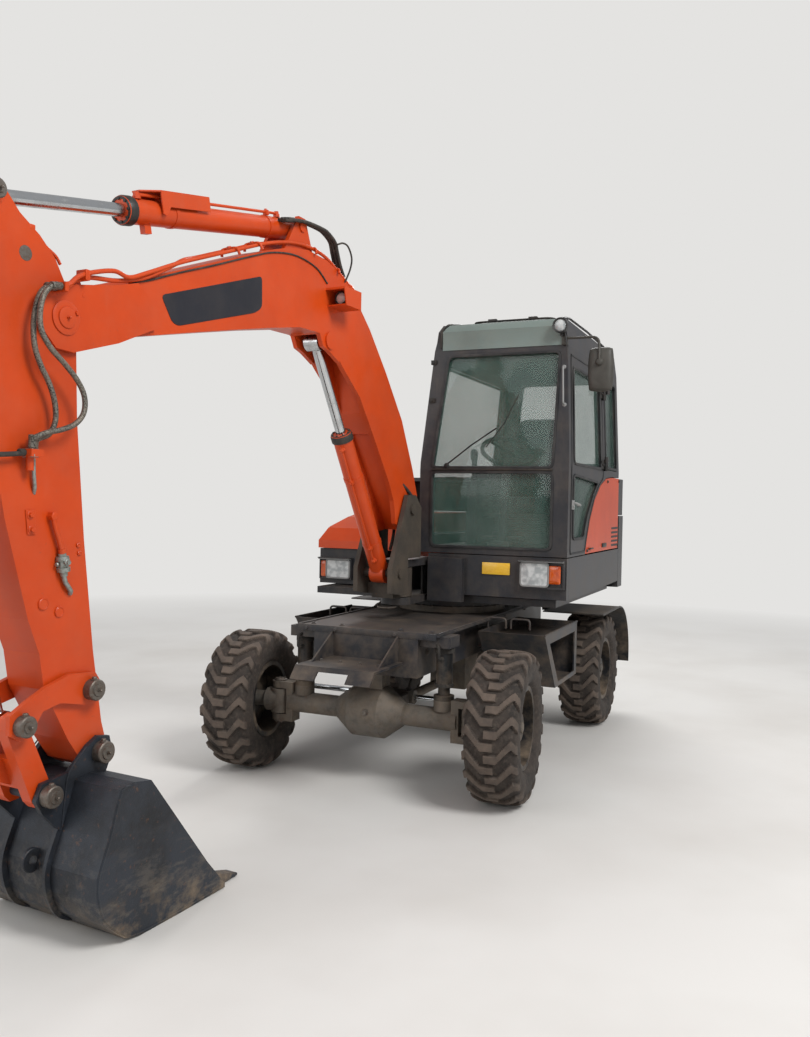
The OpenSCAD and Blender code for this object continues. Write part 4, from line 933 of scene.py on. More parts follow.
    def tip_hose(self, k):
        """A braided hose in a free loop from the boom's clip to the arm's block, with end ferrules."""
        path = (
            [(2708, 134, 2372), (2744, 134, 2372), (2788, 137, 2334), (2811, 139, 2268), (2817, 140, 2210),
             (2810, 140, 2145), (2784, 139, 2086), (2752, 138, 2038), (2727, 137, 1988), (2714, 136, 1936),
             (2716, 135, 1888), (2738, 132, 1848), (2780, 127, 1828), (2796, 125, 1812), (2796, 125, 1788)],
            [(2708, 160, 2372), (2746, 160, 2372), (2792, 163, 2330), (2812, 166, 2262), (2806, 168, 2200),
             (2768, 170, 2146), (2706, 171, 2098), (2650, 171, 2048), (2616, 171, 1994), (2616, 170, 1936),
             (2650, 167, 1892), (2708, 163, 1866), (2770, 158, 1850), (2812, 151, 1830), (2823, 148, 1810),
             (2823, 148, 1788)])[k]
        s = Shape(plane)
        curve = smooth_path(path, 8)
        s.tube(curve, 10, 14)
        for i, j in ((2, 10), (-3, -11)):
            t = curve[j] - curve[i]
            s.turned(curve[i], t, [(0, 12), (2, 14), (30, 14), (32, 15.5), (44, 15.5), (46, 12)], 12)
        obj = s.make("tip_hose_" + "ab"[k], "boom", "braid")
        obj.parent = None
        point(plane, 2760, 140, 2340)
        point(plane, 2740, 140, 1870)
        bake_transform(obj)
        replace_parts(obj, ("tip_hose_outer", "tip_hose_inner")[k])

    def plate(self):
        """The dark plate on the boom's side, bare: an outline read from the photo, 2.5 mm proud."""
        s = Shape(plane)
        outline = [(2149, 2467), (1469, 2700), (1465, 2549), (1519, 2515), (2045, 2358), (2082, 2368)]
        corners = rounded(flat(outline, 0), 24, 4, True)[:, ::2]
        s.plate(corners, "xz", BOOM_SIDE, BOOM_SIDE + 2.5, 1)
        s.make("boom_plate", "boom", "decal")

    def lamp(self):
        """The working lamp in the boom's hood: bezel ring and fluted round glass."""
        s = Shape(plane)
        s.ring((850, 158, 2716), X, [(0, 36), (10, 37), (13, 35), (12, 31), (0, 31)])
        s.turned((740, 130, 2765), Z, [(0, 8), (3, 8)], 8)
        s.make("boom_lamp_bezel", "boom", "black")
        s = Shape(plane)
        s.turned((852, 158, 2716), X, [(0, 31), (5, 30), (9, 25), (12, 16), (13, 5)], 28)
        s.make("boom_lamp_glass", "boom", "lens")


class EXCAVATOR_OT_arm(bpy.types.Operator):
    """Add the arm's blocks, tubes and valve, and the cylinders' glands and pipes"""

    bl_idname = "excavator.arm"
    bl_label = "Arm and cylinder fittings"

    def execute(self, context):
        self.arm()
        self.cylinders()
        self.linkage()
        return {"FINISHED"}

    def arm(self):
        """Fittings turned about their own axes and tubes through points read from the photo."""
        s = Shape(plane)
        s.turned((2810, 95, 1777), Y, [(0, 18), (60, 18), (64, 15)], 6)
        for u, lat in ((2796, 125), (2823, 148)):
            s.turned((u, lat, 1764), Z, [(0, 14), (8, 14), (9, 11), (26, 11)], 6)
        s.tube(rounded([(2786, 112, 1760), (2784, 112, 1700), (2774, 106, 1656), (2766, 90, 1636)], 20),
               7, 10)
        s.make("arm_tees", "arm", "plated")
        s = Shape(plane)
        s.plate([(2764, 1578), (2806, 1578), (2796, 1490), (2762, 1490)], "xz", 95, 100)
        s.bolt((2786, 100, 1560), Y, 10)
        s.bolt((2780, 100, 1508), Y, 10)
        for u, z, r in ((2724, 1240, 22), (2652, 1205, 20), (2568, 1447, 9), (2562, 1417, 9)):
            s.turned((u, 95, z), Y, [(0, r), (5, r), (7, r - 3), (5, r - 5)], 20)
        # The tail and rocker bosses' rims
        for pin, r in ((ARM_TAIL_PIN, 52), (ROCKER_PIN, 52)):
            s.turned((pin[0], 95, pin[1]), Y, [(0, r), (6, r), (8, r - 4)], 28)
        # Two pipes up the arm's back under one clamp
        for lat in (66, 88):
            s.tube(smooth_path([(2946, lat, 2672), (2900, lat, 2640), (2842, lat, 2589), (2788, lat, 2562),
                                (2731, lat, 2521), (2682, lat, 2495), (2660, lat, 2470)]), 6, 10)
        s.block((2776, 56, 2560), (2800, 96, 2580), 4)
        s.make("arm_fittings", "arm", "orange")
        s = Shape(plane)
        s.turned((2816, 95, 2472), Y, [(0, 27), (1.2, 26), (1.5, 22)], 24)
        s.make("arm_plug", "arm", "pin")
        s = Shape(plane)
        s.tube(smooth_path([(2697, 112, 1556), (2690, 113, 1520), (2668, 113, 1462), (2652, 113, 1414)]),
               9, 12)
        s.turned((2697, 95, 1556), Y, [(0, 16), (26, 16), (28, 12)], 6)
        s.turned((2659, 113, 1436), (-0.3, 0, -0.95), [(0, 9), (2, 14), (16, 14), (18, 10)], 12)
        s.make("arm_valve_pipe", "arm", "orange")
        s = Shape(plane)
        s.turned((2654, 110, 1420), (-0.13, 0, -0.99),
                 [(0, 15), (10, 15), (11, 23), (26, 25), (28, 19), (50, 19), (52, 25), (68, 23), (70, 14),
                  (84, 13)], 14)
        s.turned((2650, 120, 1388), Y, [(0, 13), (16, 13), (18, 9), (24, 9)], 6)
        s.tube(smooth_path([(2644, 110, 1338), (2636, 110, 1312), (2612, 108, 1282), (2602, 96, 1268)]),
               9, 10)
        s.bolt((2672, 110, 1380), X, 8, False)
        s.make("arm_valve", "arm", "plated")
        s = Shape(plane)
        path = [(2824, 125, 1777), (2860, 128, 1772), (2950, 128, 1764), (3030, 100, 1762), (3072, 66, 1756)]
        s.tube(smooth_path(path, 8), 9, 12)
        s.turned(path[0], X, [(0, 13), (34, 13), (36, 10)], 12)
        obj = s.make("arm_side_hose", "arm", "hose")
        obj.parent = None
        point(plane, 2880, 128, 1770)
        point(plane, 3050, 80, 1760)
        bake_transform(obj)

    def cylinders(self):
        """The gland nut with its bolts, two ports, and the pipe with its bands, in each cylinder's frame."""
        for body, a, b, r, length in (
            ("arm_cylinder_barrel", ARM_CYL_BASE, ARM_TAIL_PIN, 52, 1190),
            ("boom_cylinder_barrel", BOOM_CYL_FOOT, BOOM_CYL_HEAD, 56, 960),
            ("bucket_cylinder_barrel", BUCKET_CYL_BASE, LINK_PIN, 46, 830),
        ):
            place = along(a, b)
            s = Shape(place)
            s.ring((length - 44, 0, 0), X,
                   [(0, r - 8), (0, r + 8), (34, r + 8), (40, r + 4), (46, r + 2), (46, r - 8)])
            s.bolts((length + 1) * X, X, Y, Z, r - 7, 8, 6, washer=False)
            s.make(body + "_gland", body, "black")
            s = Shape(place)
            up = -1 if "boom" in body else 1
            first = 240 if "bucket" in body else 130
            for x in (first, length - 80):
                s.turned((x, 20, up * (r - 4)), up * Z, [(0, 18), (12, 18), (14, 14), (26, 14), (28, 11)], 6)
            s.tube(rounded([(first, 20, up * (r + 12)), (first + 28, 22, up * (r + 14)),
                            (length - 110, 22, up * (r + 14)), (length - 80, 20, up * (r + 12))], 16), 7, 10)
            for x in (first + 80, length - 300):
                s.ring((x, 0, 0), X, [(0, r - 4), (0, r + 3), (22, r + 3), (22, r - 4)], 32)
                low, high = (r - 2, r + 24) if up > 0 else (-r - 24, -r + 2)
                s.block((x, 10, low), (x + 22, 34, high), 4)
                s.bolt((x + 11, 22, up * (r + 22)), up * Z, 7, False)
            s.make(body + "_pipe", body, "orange")

    def linkage(self):
        """Pin collars, keeper bolts and grease nipples outside the linkage's plates."""
        for body, pin, lat, r in (("arm", ROCKER_PIN, 124, 40), ("bucket_link", LINK_PIN, 124, 38),
                                  ("bucket", BUCKET_PIN, 125, 42), ("bucket", EAR_PIN, 125, 40),
                                  ("arm", ARM_TAIL_PIN, 102, 34)):
            s = Shape(plane)
            for side in (1, -1):
                base = (pin[0], side * lat, pin[1])
                s.turned(base, side * Y, [(0, r), (34, r), (38, r - 4), (38, r - 16), (43, r - 18)], 28)
                s.bolt((pin[0], side * (lat + 18), pin[1] + r - 2), Z, 10)
                s.nipple((pin[0], side * (lat + 42), pin[1]), side * Y)
            s.make(f"collar_{body}_{pin[0]}", body, "pin")


class EXCAVATOR_OT_cab(bpy.types.Operator):
    """Add the cab's seals, visor, mirror, lamp, rails, latch, levers and wiper"""

    bl_idname = "excavator.cab"
    bl_label = "Cab fittings"

    def execute(self, context):
        self.seals()
        self.roof()
        self.mirror()
        self.door()
        self.inside()
        return {"FINISHED"}

    def seals(self):
        """Rubber seals: closed squared mouldings round each pane, in the pane's own plane."""
        s = Shape(row)
        for pane in ([(26, 1868), (836, 1868), (858, 2600), (110, 2600)],
                     [(26, 1352), (836, 1352), (836, 1838), (26, 1838)]):
            s.rim(rounded([(windscreen(z), y, z) for y, z in pane], 40, 5, True), (1, 0, 0.03), 9, 5)
        back = [(90, 1960), (840, 1960), (820, 2600), (150, 2600)]
        s.rim(rounded([(CAB_REAR - 2, y, z) for y, z in back], 40, 5, True), -X, 9, 5)
        right = [(330, 1420), (-560, 1420), (-560, 1900), (-1040, 1900), (-1040, 2560), (290, 2560),
                 (330, SILL_Z)]
        s.rim(rounded([(x, cab_side(z, CAB_RIGHT, 6) - 2, z) for x, z in right], 40, 5, True),
              (0, -1, 0.06), 9, 5)
        rear = [(-650, 1915), (-1050, 1915), (-1050, 2560), (-650, 2560)]
        s.rim(rounded([(x, cab_side(z, CAB_LEFT, 904) + 2, z) for x, z in rear], 40, 5, True),
              (0, 1, 0.05), 9, 5)
        s.make("cab_seals", "upper", "plastic")
        # The slide rail between the two panes, and hinge strips outside the front pillars
        s = Shape(row)
        s.tube([(482, 26, 1853), (482, 440, 1853), (482, 836, 1853)], 7, 8)
        for z in (2565, 2312):
            x = windscreen(z)
            s.block((x - 8, -14, z - 16), (x + 10, 26, z + 16), 5)
            s.bolt((x + 10, 6, z), X, 7)
        s.make("cab_rail", "upper", "black")

    def roof(self):
        """The pale visor over the windscreen, the roof's hatch frame and its gutter rails."""
        s = Shape(row)
        rings = []
        for x, z, y0, y1 in ((421, 2640, 62, 868), (418, 2692, 60, 870), (432, 2760, 64, 868),
                             (408, 2790, 80, 858), (384, 2812, 96, 846)):
            rings.append([(x, y0, z), (x + 4, y0 + 2, z), (x + 4, y1 - 2, z), (x, y1, z)])
        s.loft(rings)
        s.make("cab_visor", "upper", "visor")
        s = Shape(row)
        # The gutter rails: x, z and how far to the left each runs, at the right and at the left
        gutter = ((424, 2656, 52, 884), (438, 2768, 56, 880), (386, 2818, 84, 852), (150, 2857, 96, 842),
                  (-400, 2866, 100, 838), (-1000, 2852, 100, 838), (-1146, 2786, 110, 830))
        for side in (2, 3):
            s.tube(rounded([(g[0], g[side], g[1]) for g in gutter], 40), 8, 8)
        hatch = [(-500, 200, 2866), (200, 200, 2860), (200, 740, 2860), (-500, 740, 2866)]
        s.rim(rounded(hatch, 60, 5, True), Z, 14, 6)
        for y in (330, 610):
            s.block((180, y - 30, 2858), (212, y + 30, 2876), 5)
        s.make("cab_roof_rails", "upper", "black")
        # The work lamp and its cable
        s = Shape(row)
        s.turned((430, 866, 2752), X,
                 [(0, 22), (6, 38), (20, 46), (56, 48), (59, 45), (56, 41), (44, 38)], 32)
        s.block((416, 858, 2690), (434, 874, 2752), 3)
        s.turned((432, 866, 2700), X, [(0, 12), (8, 12), (10, 9)], 6)
        s.tube(smooth_path([(436, 876, 2716), (446, 892, 2700), (452, 902, 2650), (446, 906, 2590),
                            (440, 908, 2540)]), 4, 8)
        s.make("cab_roof_lamp", "upper", "plastic")
        s = Shape(row)
        s.turned((472, 866, 2752), X, [(0, 40), (4, 39), (9, 33), (12, 21), (13, 7)], 32)
        s.make("cab_roof_lamp_glass", "upper", "lens")

    def mirror(self):
        """The mirror: a shell whose back bulges as (1 - s^4)(1 - t^4), its arm, glass and the grab rail."""
        s = Shape(row)
        s.tube(rounded([(424, 884, 2660), (440, 896, 2676), (478, 1110, 2668), (500, 1118, 2560),
                        (500, 1118, 2500)], 50, 6), 8, 10)
        s.block((412, 866, 2636), (440, 904, 2690), 6)
        s.turned((486, 1118, 2510), X, [(0, 26), (14, 24), (22, 16), (26, 16), (28, 12)], 16)
        n = 25
        t = np.linspace(-1, 1, n)
        p, q = np.meshgrid(t, t, indexing="ij")
        grow = 78 * p * (1 - 0.05 * q**2) * (1 - 0.08 * np.abs(q * p) ** 3)
        rise = 136 * q * (1 - 0.03 * p**2) * (1 - 0.05 * np.abs(q * p) ** 3)
        bulge = 34 * ((1 - p**4) * (1 - q**4)) ** 0.5
        front = np.stack([np.full_like(p, 452), 1120 + grow, 2470 + rise], -1)
        back = np.stack([462 + bulge, 1120 + grow, 2470 + rise], -1)
        grid = np.concatenate([front.reshape(-1, 3), back.reshape(-1, 3)])
        faces, m = [], n * n
        for i in range(n - 1):
            for j in range(n - 1):
                a, b, c, d = i * n + j, (i + 1) * n + j, (i + 1) * n + j + 1, i * n + j + 1
                faces += [(a, d, c, b), (m + a, m + b, m + c, m + d)]
        edge = ([i * n for i in range(n)] + [(n - 1) * n + j for j in range(1, n)]
                + [i * n + n - 1 for i in range(n - 2, -1, -1)] + list(range(n - 2, 0, -1)))
        faces += [(a, b, m + b, m + a) for a, b in zip(edge, edge[1:] + edge[:1])]
        s.add(grid, faces)
        obj = s.make("cab_mirror", "upper", "grey")
        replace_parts(obj, "cab_fittings")
        s = Shape(row)
        pane = rounded([(0, 1050, 2344), (0, 1190, 2344), (0, 1190, 2596), (0, 1050, 2596)], 26, 5, True)
        s.loft([pane + 449 * X, pane + 453 * X])
        s.make("cab_mirror_glass", "upper", "mirror")
        s = Shape(row)
        grip = [(446, 896, 2262), (482, 896, 2266), (466, 886, 2496), (430, 884, 2500)]
        s.tube(rounded(grip, 20, 5), 5.5, 12)
        for x, y, z in ((446, 896, 2262), (430, 884, 2500)):
            s.turned((x - 4, y, z), X, [(0, 13), (5, 13), (7, 10)], 16)
        s.make("cab_grab_rail", "upper", "trim")

    def door(self):
        """The door's seals, handle, latch and hinges."""
        s = Shape(row)
        upper = [(340, 1900), (-480, 1900), (-480, 2520), (300, 2520)]
        lower = [(345, 1420), (30, 1420), (-60, 1560), (-220, 1700), (-380, 1800), (345, 1830)]
        for pane in (upper, lower):
            s.rim(rounded([(x, cab_side(z, CAB_LEFT, 904) + 3, z) for x, z in pane], 45, 5, True),
                  (0, 1, 0.04), 9, 5)
        edge = [(402, 1330), (-8, 1330), (-40, 1402), (-132, 1552), (-286, 1704), (-420, 1782), (-560, 1834),
                (-560, 2588), (352, 2588), (402, 1860)]
        s.rim(rounded([(x, cab_side(z, CAB_LEFT, 904) + 1, z) for x, z in edge], 30, 4, True),
              (0, 1, 0.04), 5, 4)
        s.make("door_seals", "cab_door", "plastic")
        s = Shape(row)
        s.block((340, 938, 1608), (398, 950, 1668), 5)
        s.tube(rounded([(352, 948, 1650), (352, 966, 1646), (300, 968, 1640), (256, 966, 1636),
                        (256, 946, 1634)], 12), 8, 10)
        s.turned((380, 950, 1630), Y, [(0, 13), (5, 13), (7, 10)], 16)
        s.make("door_latch", "cab_door", "trim")
        s = Shape(row)
        for z in (1930, 2440):
            y = cab_side(z, CAB_LEFT, 904) + 3
            s.turned((-560, y + 16, z - 42), Z, [(0, 13), (2, 15), (82, 15), (84, 13)], 16)
            s.block((-552, y - 2, z - 30), (-470, y + 8, z + 30), 4)
            for x in (-520, -488):
                s.bolt((x, y + 8, z), Y, 8, False)
        s.make("door_hinges", "cab_door", "black")

    def inside(self):
        """Lever boots and knobs, pads on the consoles, pedals and the wiper."""
        s = Shape(row)
        for lat in (-1, 1):
            y = CAB_MID + lat * 292
            s.turned((-20, y, 1786), (0.06, 0, 1),
                     [(0, 44), (8, 42), (16, 30), (24, 34), (32, 24), (40, 27), (50, 16)])
            s.turned((-4, y, 1930), (0.06, 0, 1),
                     [(0, 15), (10, 22), (34, 27), (66, 26), (84, 16), (88, 6)], 20)
            s.block((-470, y - 38, 1790), (-90, y + 38, 1812), 10)
            pedal = CAB_MID + lat * 90
            s.turned((180, pedal, 1352), (-0.2, 0, 1), [(0, 30), (10, 34), (24, 18), (60, 15), (64, 10)])
            s.block((150, pedal - 44, 1404), (290, pedal + 44, 1420), 5)
        s.make("cab_levers", "upper", "plastic")
        s = Shape(row)
        s.tube([(486, 130, 1885), (492, 300, 2010), (488, 470, 2120)], 5, 8)
        s.tube([(486, 400, 1998), (484, 520, 2150), (482, 610, 2330)], 4, 8)
        s.turned((478, 130, 1880), X, [(0, 17), (12, 17), (16, 12)], 16)
        s.make("cab_wiper", "upper", "black")


class EXCAVATOR_OT_seat(bpy.types.Operator):
    """Build the seat: two cushions blown up as cloth, on a plinth with bellows"""

    bl_idname = "excavator.seat"
    bl_label = "Seat"

    def execute(self, context):
        crown = context.scene.excavator_seat.crown
        s = Shape(row)
        s.block((-520, 260, 1358), (-80, 620, 1440), 14)
        # The bellows: every second fold stands 6 mm further in.
        for k in range(6):
            z, step = 1440 + 16 * k, 6 * (k % 2)
            s.block((-500 + step, 270 + step, z), (-100 - step, 610 - step, z + 15), 6)
        s.block((-560, 200, 1536), (-50, 680, 1566), 12)
        s.make("seat_base", "upper", "plastic")
        seat = self.cushion("seat_cushion", (-298, CAB_MID, 1624), X, Y, Z, 255, 235, 48, crown)
        lean = np.array([-0.235, 0.0, 0.972])
        face = np.array([0.972, 0.0, 0.235])
        self.cushion("seat_back", (-562, CAB_MID, 2000), lean, Y, face, 300, 215, 46, crown)
        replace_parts(seat, "seat")
        s = Shape(row)
        for side in (-1, 1):
            y = CAB_MID + side * 215
            s.tube(smooth_path([(-560, y, 1630), (-540, y - side * 4, 1622), (-60, y, 1622)]), 5, 8)
        s.make("seat_piping", "upper", "grey")
        return {"FINISHED"}

    def cushion(self, name, centre, along_, across, out, length, width, thick, crown):
        """A crowned pad: a superellipse plan |p|^4 + |q|^4 = 1, lifted by thick (1 - m^6)^(1/2) and a crown.

        The crown is (1 - p^2)(1 - q^2), m is the larger of |p| and |q|, and two grooves run along the pad
        at |q| = 0.52. The skin is remeshed, blown up as cloth, capped in how far it moved, and then
        subdivided once.
        """
        n = 41
        t = np.linspace(-1, 1, n)
        p, q = np.meshgrid(t, t, indexing="ij")
        m = np.maximum(np.abs(p), np.abs(q))
        norm = (np.abs(p) ** 4 + np.abs(q) ** 4) ** 0.25
        scale = np.where(norm > 0, m / np.maximum(norm, 1e-9), 1.0)
        a, b = p * scale * length, q * scale * width
        half = thick * np.clip(1 - m**6, 0, 1) ** 0.5 + crown * 500 * np.clip((1 - p**2) * (1 - q**2), 0, 1)
        half -= 9 * np.exp(-(((np.abs(q) - 0.52) / 0.05) ** 2)) * np.clip(1 - m**8, 0, 1)
        c = np.asarray(centre, float)
        flat_ = c + a[..., None] * along_ + b[..., None] * across
        top, bottom = flat_ + half[..., None] * out, flat_ - half[..., None] * 0.8 * np.asarray(out)
        grid = np.concatenate([top.reshape(-1, 3), bottom.reshape(-1, 3)])
        faces, k = [], n * n
        for i in range(n - 1):
            for j in range(n - 1):
                u = (i * n + j, (i + 1) * n + j, (i + 1) * n + j + 1, i * n + j + 1)
                faces += [u, tuple(k + v for v in u[::-1])]
        s = Shape(row)
        s.add(grid, faces)
        obj = s.make(name, "upper", "weave", 0)
        bm = bmesh.new()
        bm.from_mesh(obj.data)
        bmesh.ops.remove_doubles(bm, verts=bm.verts, dist=0.0004)
        bmesh.ops.recalc_face_normals(bm, faces=bm.faces)
        bm.to_mesh(obj.data)
        bm.free()
        remesh = obj.modifiers.new("remesh", "REMESH")
        remesh.mode = "VOXEL"
        remesh.voxel_size = 0.006
        self.apply(obj, remesh)
        rest = np.array([v.co for v in obj.data.vertices])
        blow = obj.modifiers.new("cloth", "CLOTH")
        blow.settings.use_pressure = True
        blow.settings.uniform_pressure_force = 4.0
        blow.settings.effector_weights.gravity = 0.0
        blow.point_cache.frame_start, blow.point_cache.frame_end = 1, 20
        for number in range(1, 21):
            bpy.context.scene.frame_set(number)
        self.apply(obj, blow)
        bpy.context.scene.frame_set(1)
        moved = np.array([v.co for v in obj.data.vertices]) - rest
        far = np.linalg.norm(moved, axis=1)[:, None]
        moved *= np.minimum(1.0, 0.012 / np.maximum(far, 1e-9))
        obj.data.vertices.foreach_set("co", (rest + moved).ravel())
        fine = obj.modifiers.new("fine", "SUBSURF")
        fine.levels = fine.render_levels = 1
        self.apply(obj, fine)
        for face in obj.data.polygons:
            face.use_smooth = True
        return obj

    def apply(self, obj, modifier):
        """Applies a modifier to its object."""
        with bpy.context.temp_override(object=obj, active_object=obj, selected_objects=[obj]):
            bpy.ops.object.modifier_apply(modifier=modifier.name)


class EXCAVATOR_OT_body(bpy.types.Operator):
    """Add the upper body's lamps, vents, seams, handles and plugs"""

    bl_idname = "excavator.body"
    bl_label = "Upper body fittings"

    def execute(self, context):
        self.lamps()
        self.covers()
        self.bracket()
        return {"FINISHED"}

    def lamps(self):
        """Bezels round the head and tail lamps, the bulging turn lenses and the front reflector."""
        s = Shape(row)
        for front, y0, y1, z0, z1 in ((507, 654, 832, 1124, 1270), (262, -872, -686, 1082, 1212)):
            corners = [(front, y0, z0), (front, y1, z0), (front, y1, z1), (front, y0, z1)]
            s.rim(rounded(corners, 18, 4, True), X, 6, 5)
        s.block((474, 640, 1276), (530, 930, 1288), 4)
        s.block((234, -930, 1214), (284, -676, 1226), 4)
        s.make("lamp_bezels", "upper", "trim")
        s = Shape(row)
        for front, y0, y1, z0, z1 in ((502, 836, 910, 1142, 1256), (256, -916, -876, 1088, 1202)):
            yc, zc = (y0 + y1) / 2, (z0 + z1) / 2
            ring = rounded([(0, y0, z0), (0, y1, z0), (0, y1, z1), (0, y0, z1)], 10, 5, True)
            mid = np.array([0, yc, zc])
            s.loft([ring + front * X, ring + (front + 4) * X, mid + (ring - mid) * 0.9 + (front + 8) * X,
                    mid + (ring - mid) * 0.6 + (front + 10) * X])
        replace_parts(s.make("turn_lenses", "upper", "amber"), "turn_lamps")
        s = Shape(row)
        s.block((472, 388, 1182), (482, 574, 1258), 3)
        s.make("front_reflector", "upper", "yellow")
        s = Shape(row)
        for side in (1, -1):
            lo = np.arcsin(696 / TAIL_R)
            hi = np.arcsin(564 / TAIL_R)
            path = [(-(TAIL_R + 6) * np.cos(t), side * (TAIL_R + 6) * np.sin(t), z)
                    for t, z in ((lo, 1144), (hi, 1144), (hi, 1221), (lo, 1221))]
            s.rim(rounded(path, 10, 4, True), -X, 4, 4)
        s.make("tail_lamp_bezels", "upper", "plastic")

    def covers(self):
        """Vent slots, seams, handles and bolts on the covers."""
        s = Shape(row)
        for z in (1340, 1372, 1404, 1436, 1468):
            s.plate(rounded([(-1136, 0, z - 8), (-900, 0, z - 8), (-900, 0, z + 8), (-1136, 0, z + 8)],
                            8, 4, True)[:, ::2], "xz", 938, 941.5, 1)
        s.make("cover_vents", "upper", "plastic")
        s = Shape(row)
        s.block((-700, 938, 1336), (-560, 948, 1366), 5)
        s.tube(rounded([(-200, 942, 1340), (-200, 956, 1344), (-120, 956, 1344), (-120, 942, 1340)], 8), 6, 8)
        for x, z in ((-60, 1330), (-1130, 1330), (-1130, 1830), (-700, 1816)):
            s.bolt((x - 18, 939, z), Y, 9)
        for x in (-1140, -900, -660, -420, -180, 60):
            s.bolt((x, -939, 1072), -Y, 9)
            s.bolt((x, -939, 1270), -Y, 9)
        s.block((-300, -944, 1180), (-180, -936, 1210), 4)
        s.turned((-220, -943, 1195), -Y, [(0, 10), (5, 10), (7, 7)], 16)
        s.make("cover_bolts", "upper", "black")
        s = Shape(row)
        for x in (-560, -40):
            s.tube([(x, -941, 1060), (x, -941, 1180), (x, -941, 1286)], 3, 6)
        s.make("cover_seams", "upper", "plastic")
        s = Shape(row)
        s.tube(rounded([(-1560, -120, 1850), (-1560, -120, 1880), (-1560, 120, 1880), (-1560, 120, 1850)],
                       16), 8, 10)
        s.block((-1650, -50, 1560), (-1636, 50, 1610), 5)
        s.make("hood_handle", "engine_hood", "black")
        # Plugs in the counterweight's face and on its top
        s = Shape(row)
        for y in (-420, 420):
            x = -np.sqrt(TAIL_R**2 - y**2)
            s.turned((x + 2, y, 1440), (x, y, 0), [(0, 30), (6, 30), (8, 24), (6, 16)], 24)
        for y in (-300, 0, 300):
            s.turned((-1380, y, 1556), Z, [(0, 24), (8, 24), (10, 18)], 16)
        s.make("counterweight_plugs", "upper", "black")

    def bracket(self):
        """The cap and its bolts under the swing bracket's pin."""
        s = Shape(row)
        foot = np.array([*SWING_AXIS, 980.0])
        s.turned(foot, -Z, [(0, 62), (8, 62), (10, 54), (10, 40), (14, 38)], 28)
        s.bolts(foot - 8 * Z, -Z, X, Y, 48, 4, 7, np.pi / 4, False)
        s.make("swing_caps", "swing_bracket", "pin")


class EXCAVATOR_OT_chassis(bpy.types.Operator):
    """Add the chassis' bolts, ports, tubes, rails and step handles"""

    bl_idname = "excavator.chassis"
    bl_label = "Chassis fittings"

    def execute(self, context):
        self.frame()
        self.axles()
        return {"FINISHED"}

    def frame(self):
        """Edge rails, deck bolts, slewing-ring bolts, step handles and rolled fender edges."""
        s = Shape(row)
        s.bolts(936 * Z, Z, X, Y, 365, 32, 9)
        s.make("ring_bolts", "chassis", "pin")
        s = Shape(row)
        for y in (-440, 440):
            s.block((-1170, y - 9, 898), (1370, y + 9, 908), 3)
        s.block((1372, -440, 868), (1384, 440, 906), 4)
        for y in (-380, -190, 190, 380):
            s.bolt((1300, y, 900), Z, 11)
            s.bolt((1384, y, 886), X, 10)
        for y in (-180, -60, 60, 180):
            s.bolt((1560, y, 735), Z, 10)
        for y in (-1, 1):
            s.bolt((1240, y * 330, 780), y * Y, 13)
            for x in (1180, 960, 400, -200, -700, -1100):
                s.bolt((x, y * 330, 840), y * Y, 11)
        for side in (1, -1):
            for y0, y1 in ((436, 557), (590, 714)):
                s.tube(rounded([(480, side * y0, 842), (480, side * y0, 905), (480, side * y1, 905),
                                (480, side * y1, 842)], 24), 7, 10)
            s.tube(rounded([(-140, side * 868, 842), (690, side * 868, 842)], 10), 7, 8)
            # The fender's rolled edge
            y = side * FENDER_Y
            path = [(-392, y, 866), (-1000, y, 866)]
            path += [(-1000 - 420 * np.sin(t), y, 446 + 420 * np.cos(t)) for t in np.linspace(0.1, 1.5, 12)]
            s.tube(np.array(path + [(-1420, y, 392)]), 6, 8)
        s.make("chassis_fittings", "chassis", "charcoal")

    def axles(self):
        """Flange bolts, ports on the lock and steering cylinders, and their hoses."""
        s = Shape(row)
        for x in (FRONT_AXLE_X, REAR_AXLE_X):
            for side in (1, -1):
                s.bolts(np.array([x, side * 95, TYRE_R]), side * Y, X, Z, 132, 10, 9)
            s.turned((x + 146, 30, TYRE_R + 20), X, [(0, 20), (8, 20), (9, 14), (18, 14)], 6)
        s.make("axle_bolts", "chassis", "pin")
        s = Shape(row)
        for side in (1, -1):
            y = side * 450
            s.ring((FRONT_AXLE_X, y, 792), Z, [(0, 40), (0, 56), (22, 56), (26, 50), (26, 40)], 32)
            s.ring((FRONT_AXLE_X, y, 600), Z, [(0, 34), (0, 53), (16, 53), (18, 50), (18, 34)], 32)
            s.bolts(np.array([FRONT_AXLE_X, y, 818]), Z, X, Y, 42, 6, 7, washer=False)
            s.turned((FRONT_AXLE_X + 40, y, 760), X, [(0, 16), (14, 16), (16, 12), (30, 12)], 6)
            s.tube(rounded([(FRONT_AXLE_X + 68, y, 760), (FRONT_AXLE_X + 90, y, 764),
                            (FRONT_AXLE_X + 92, y, 830), (FRONT_AXLE_X + 60, y - side * 30, 850),
                            (FRONT_AXLE_X - 60, y - side * 60, 846)], 24), 8, 10)
            s.turned((1075, side * 150, 475), Z, [(0, 42), (0, 43), (40, 16), (52, 16), (54, 11)], 12)
            s.tube(smooth_path([(1075, side * 150, 526), (1060, side * 160, 580), (1010, side * 200, 640),
                                (980, side * 230, 690)]), 8, 10)
        s.make("axle_lines", "chassis", "hose")
        for side, name in ((1, "knuckle_left"), (-1, "knuckle_right")):
            s = Shape(row)
            y = side * KINGPIN_Y
            for z, up in ((533, 1), (297, -1)):
                s.turned((FRONT_AXLE_X, y, z), up * Z, [(0, 38), (8, 38), (10, 32), (14, 30)], 24)
                s.bolts(np.array([FRONT_AXLE_X, y, z + up * 12]), up * Z, X, Y, 27, 4, 6, np.pi / 4, False)
            s.make("kingpin_caps_" + name, name, "pin")


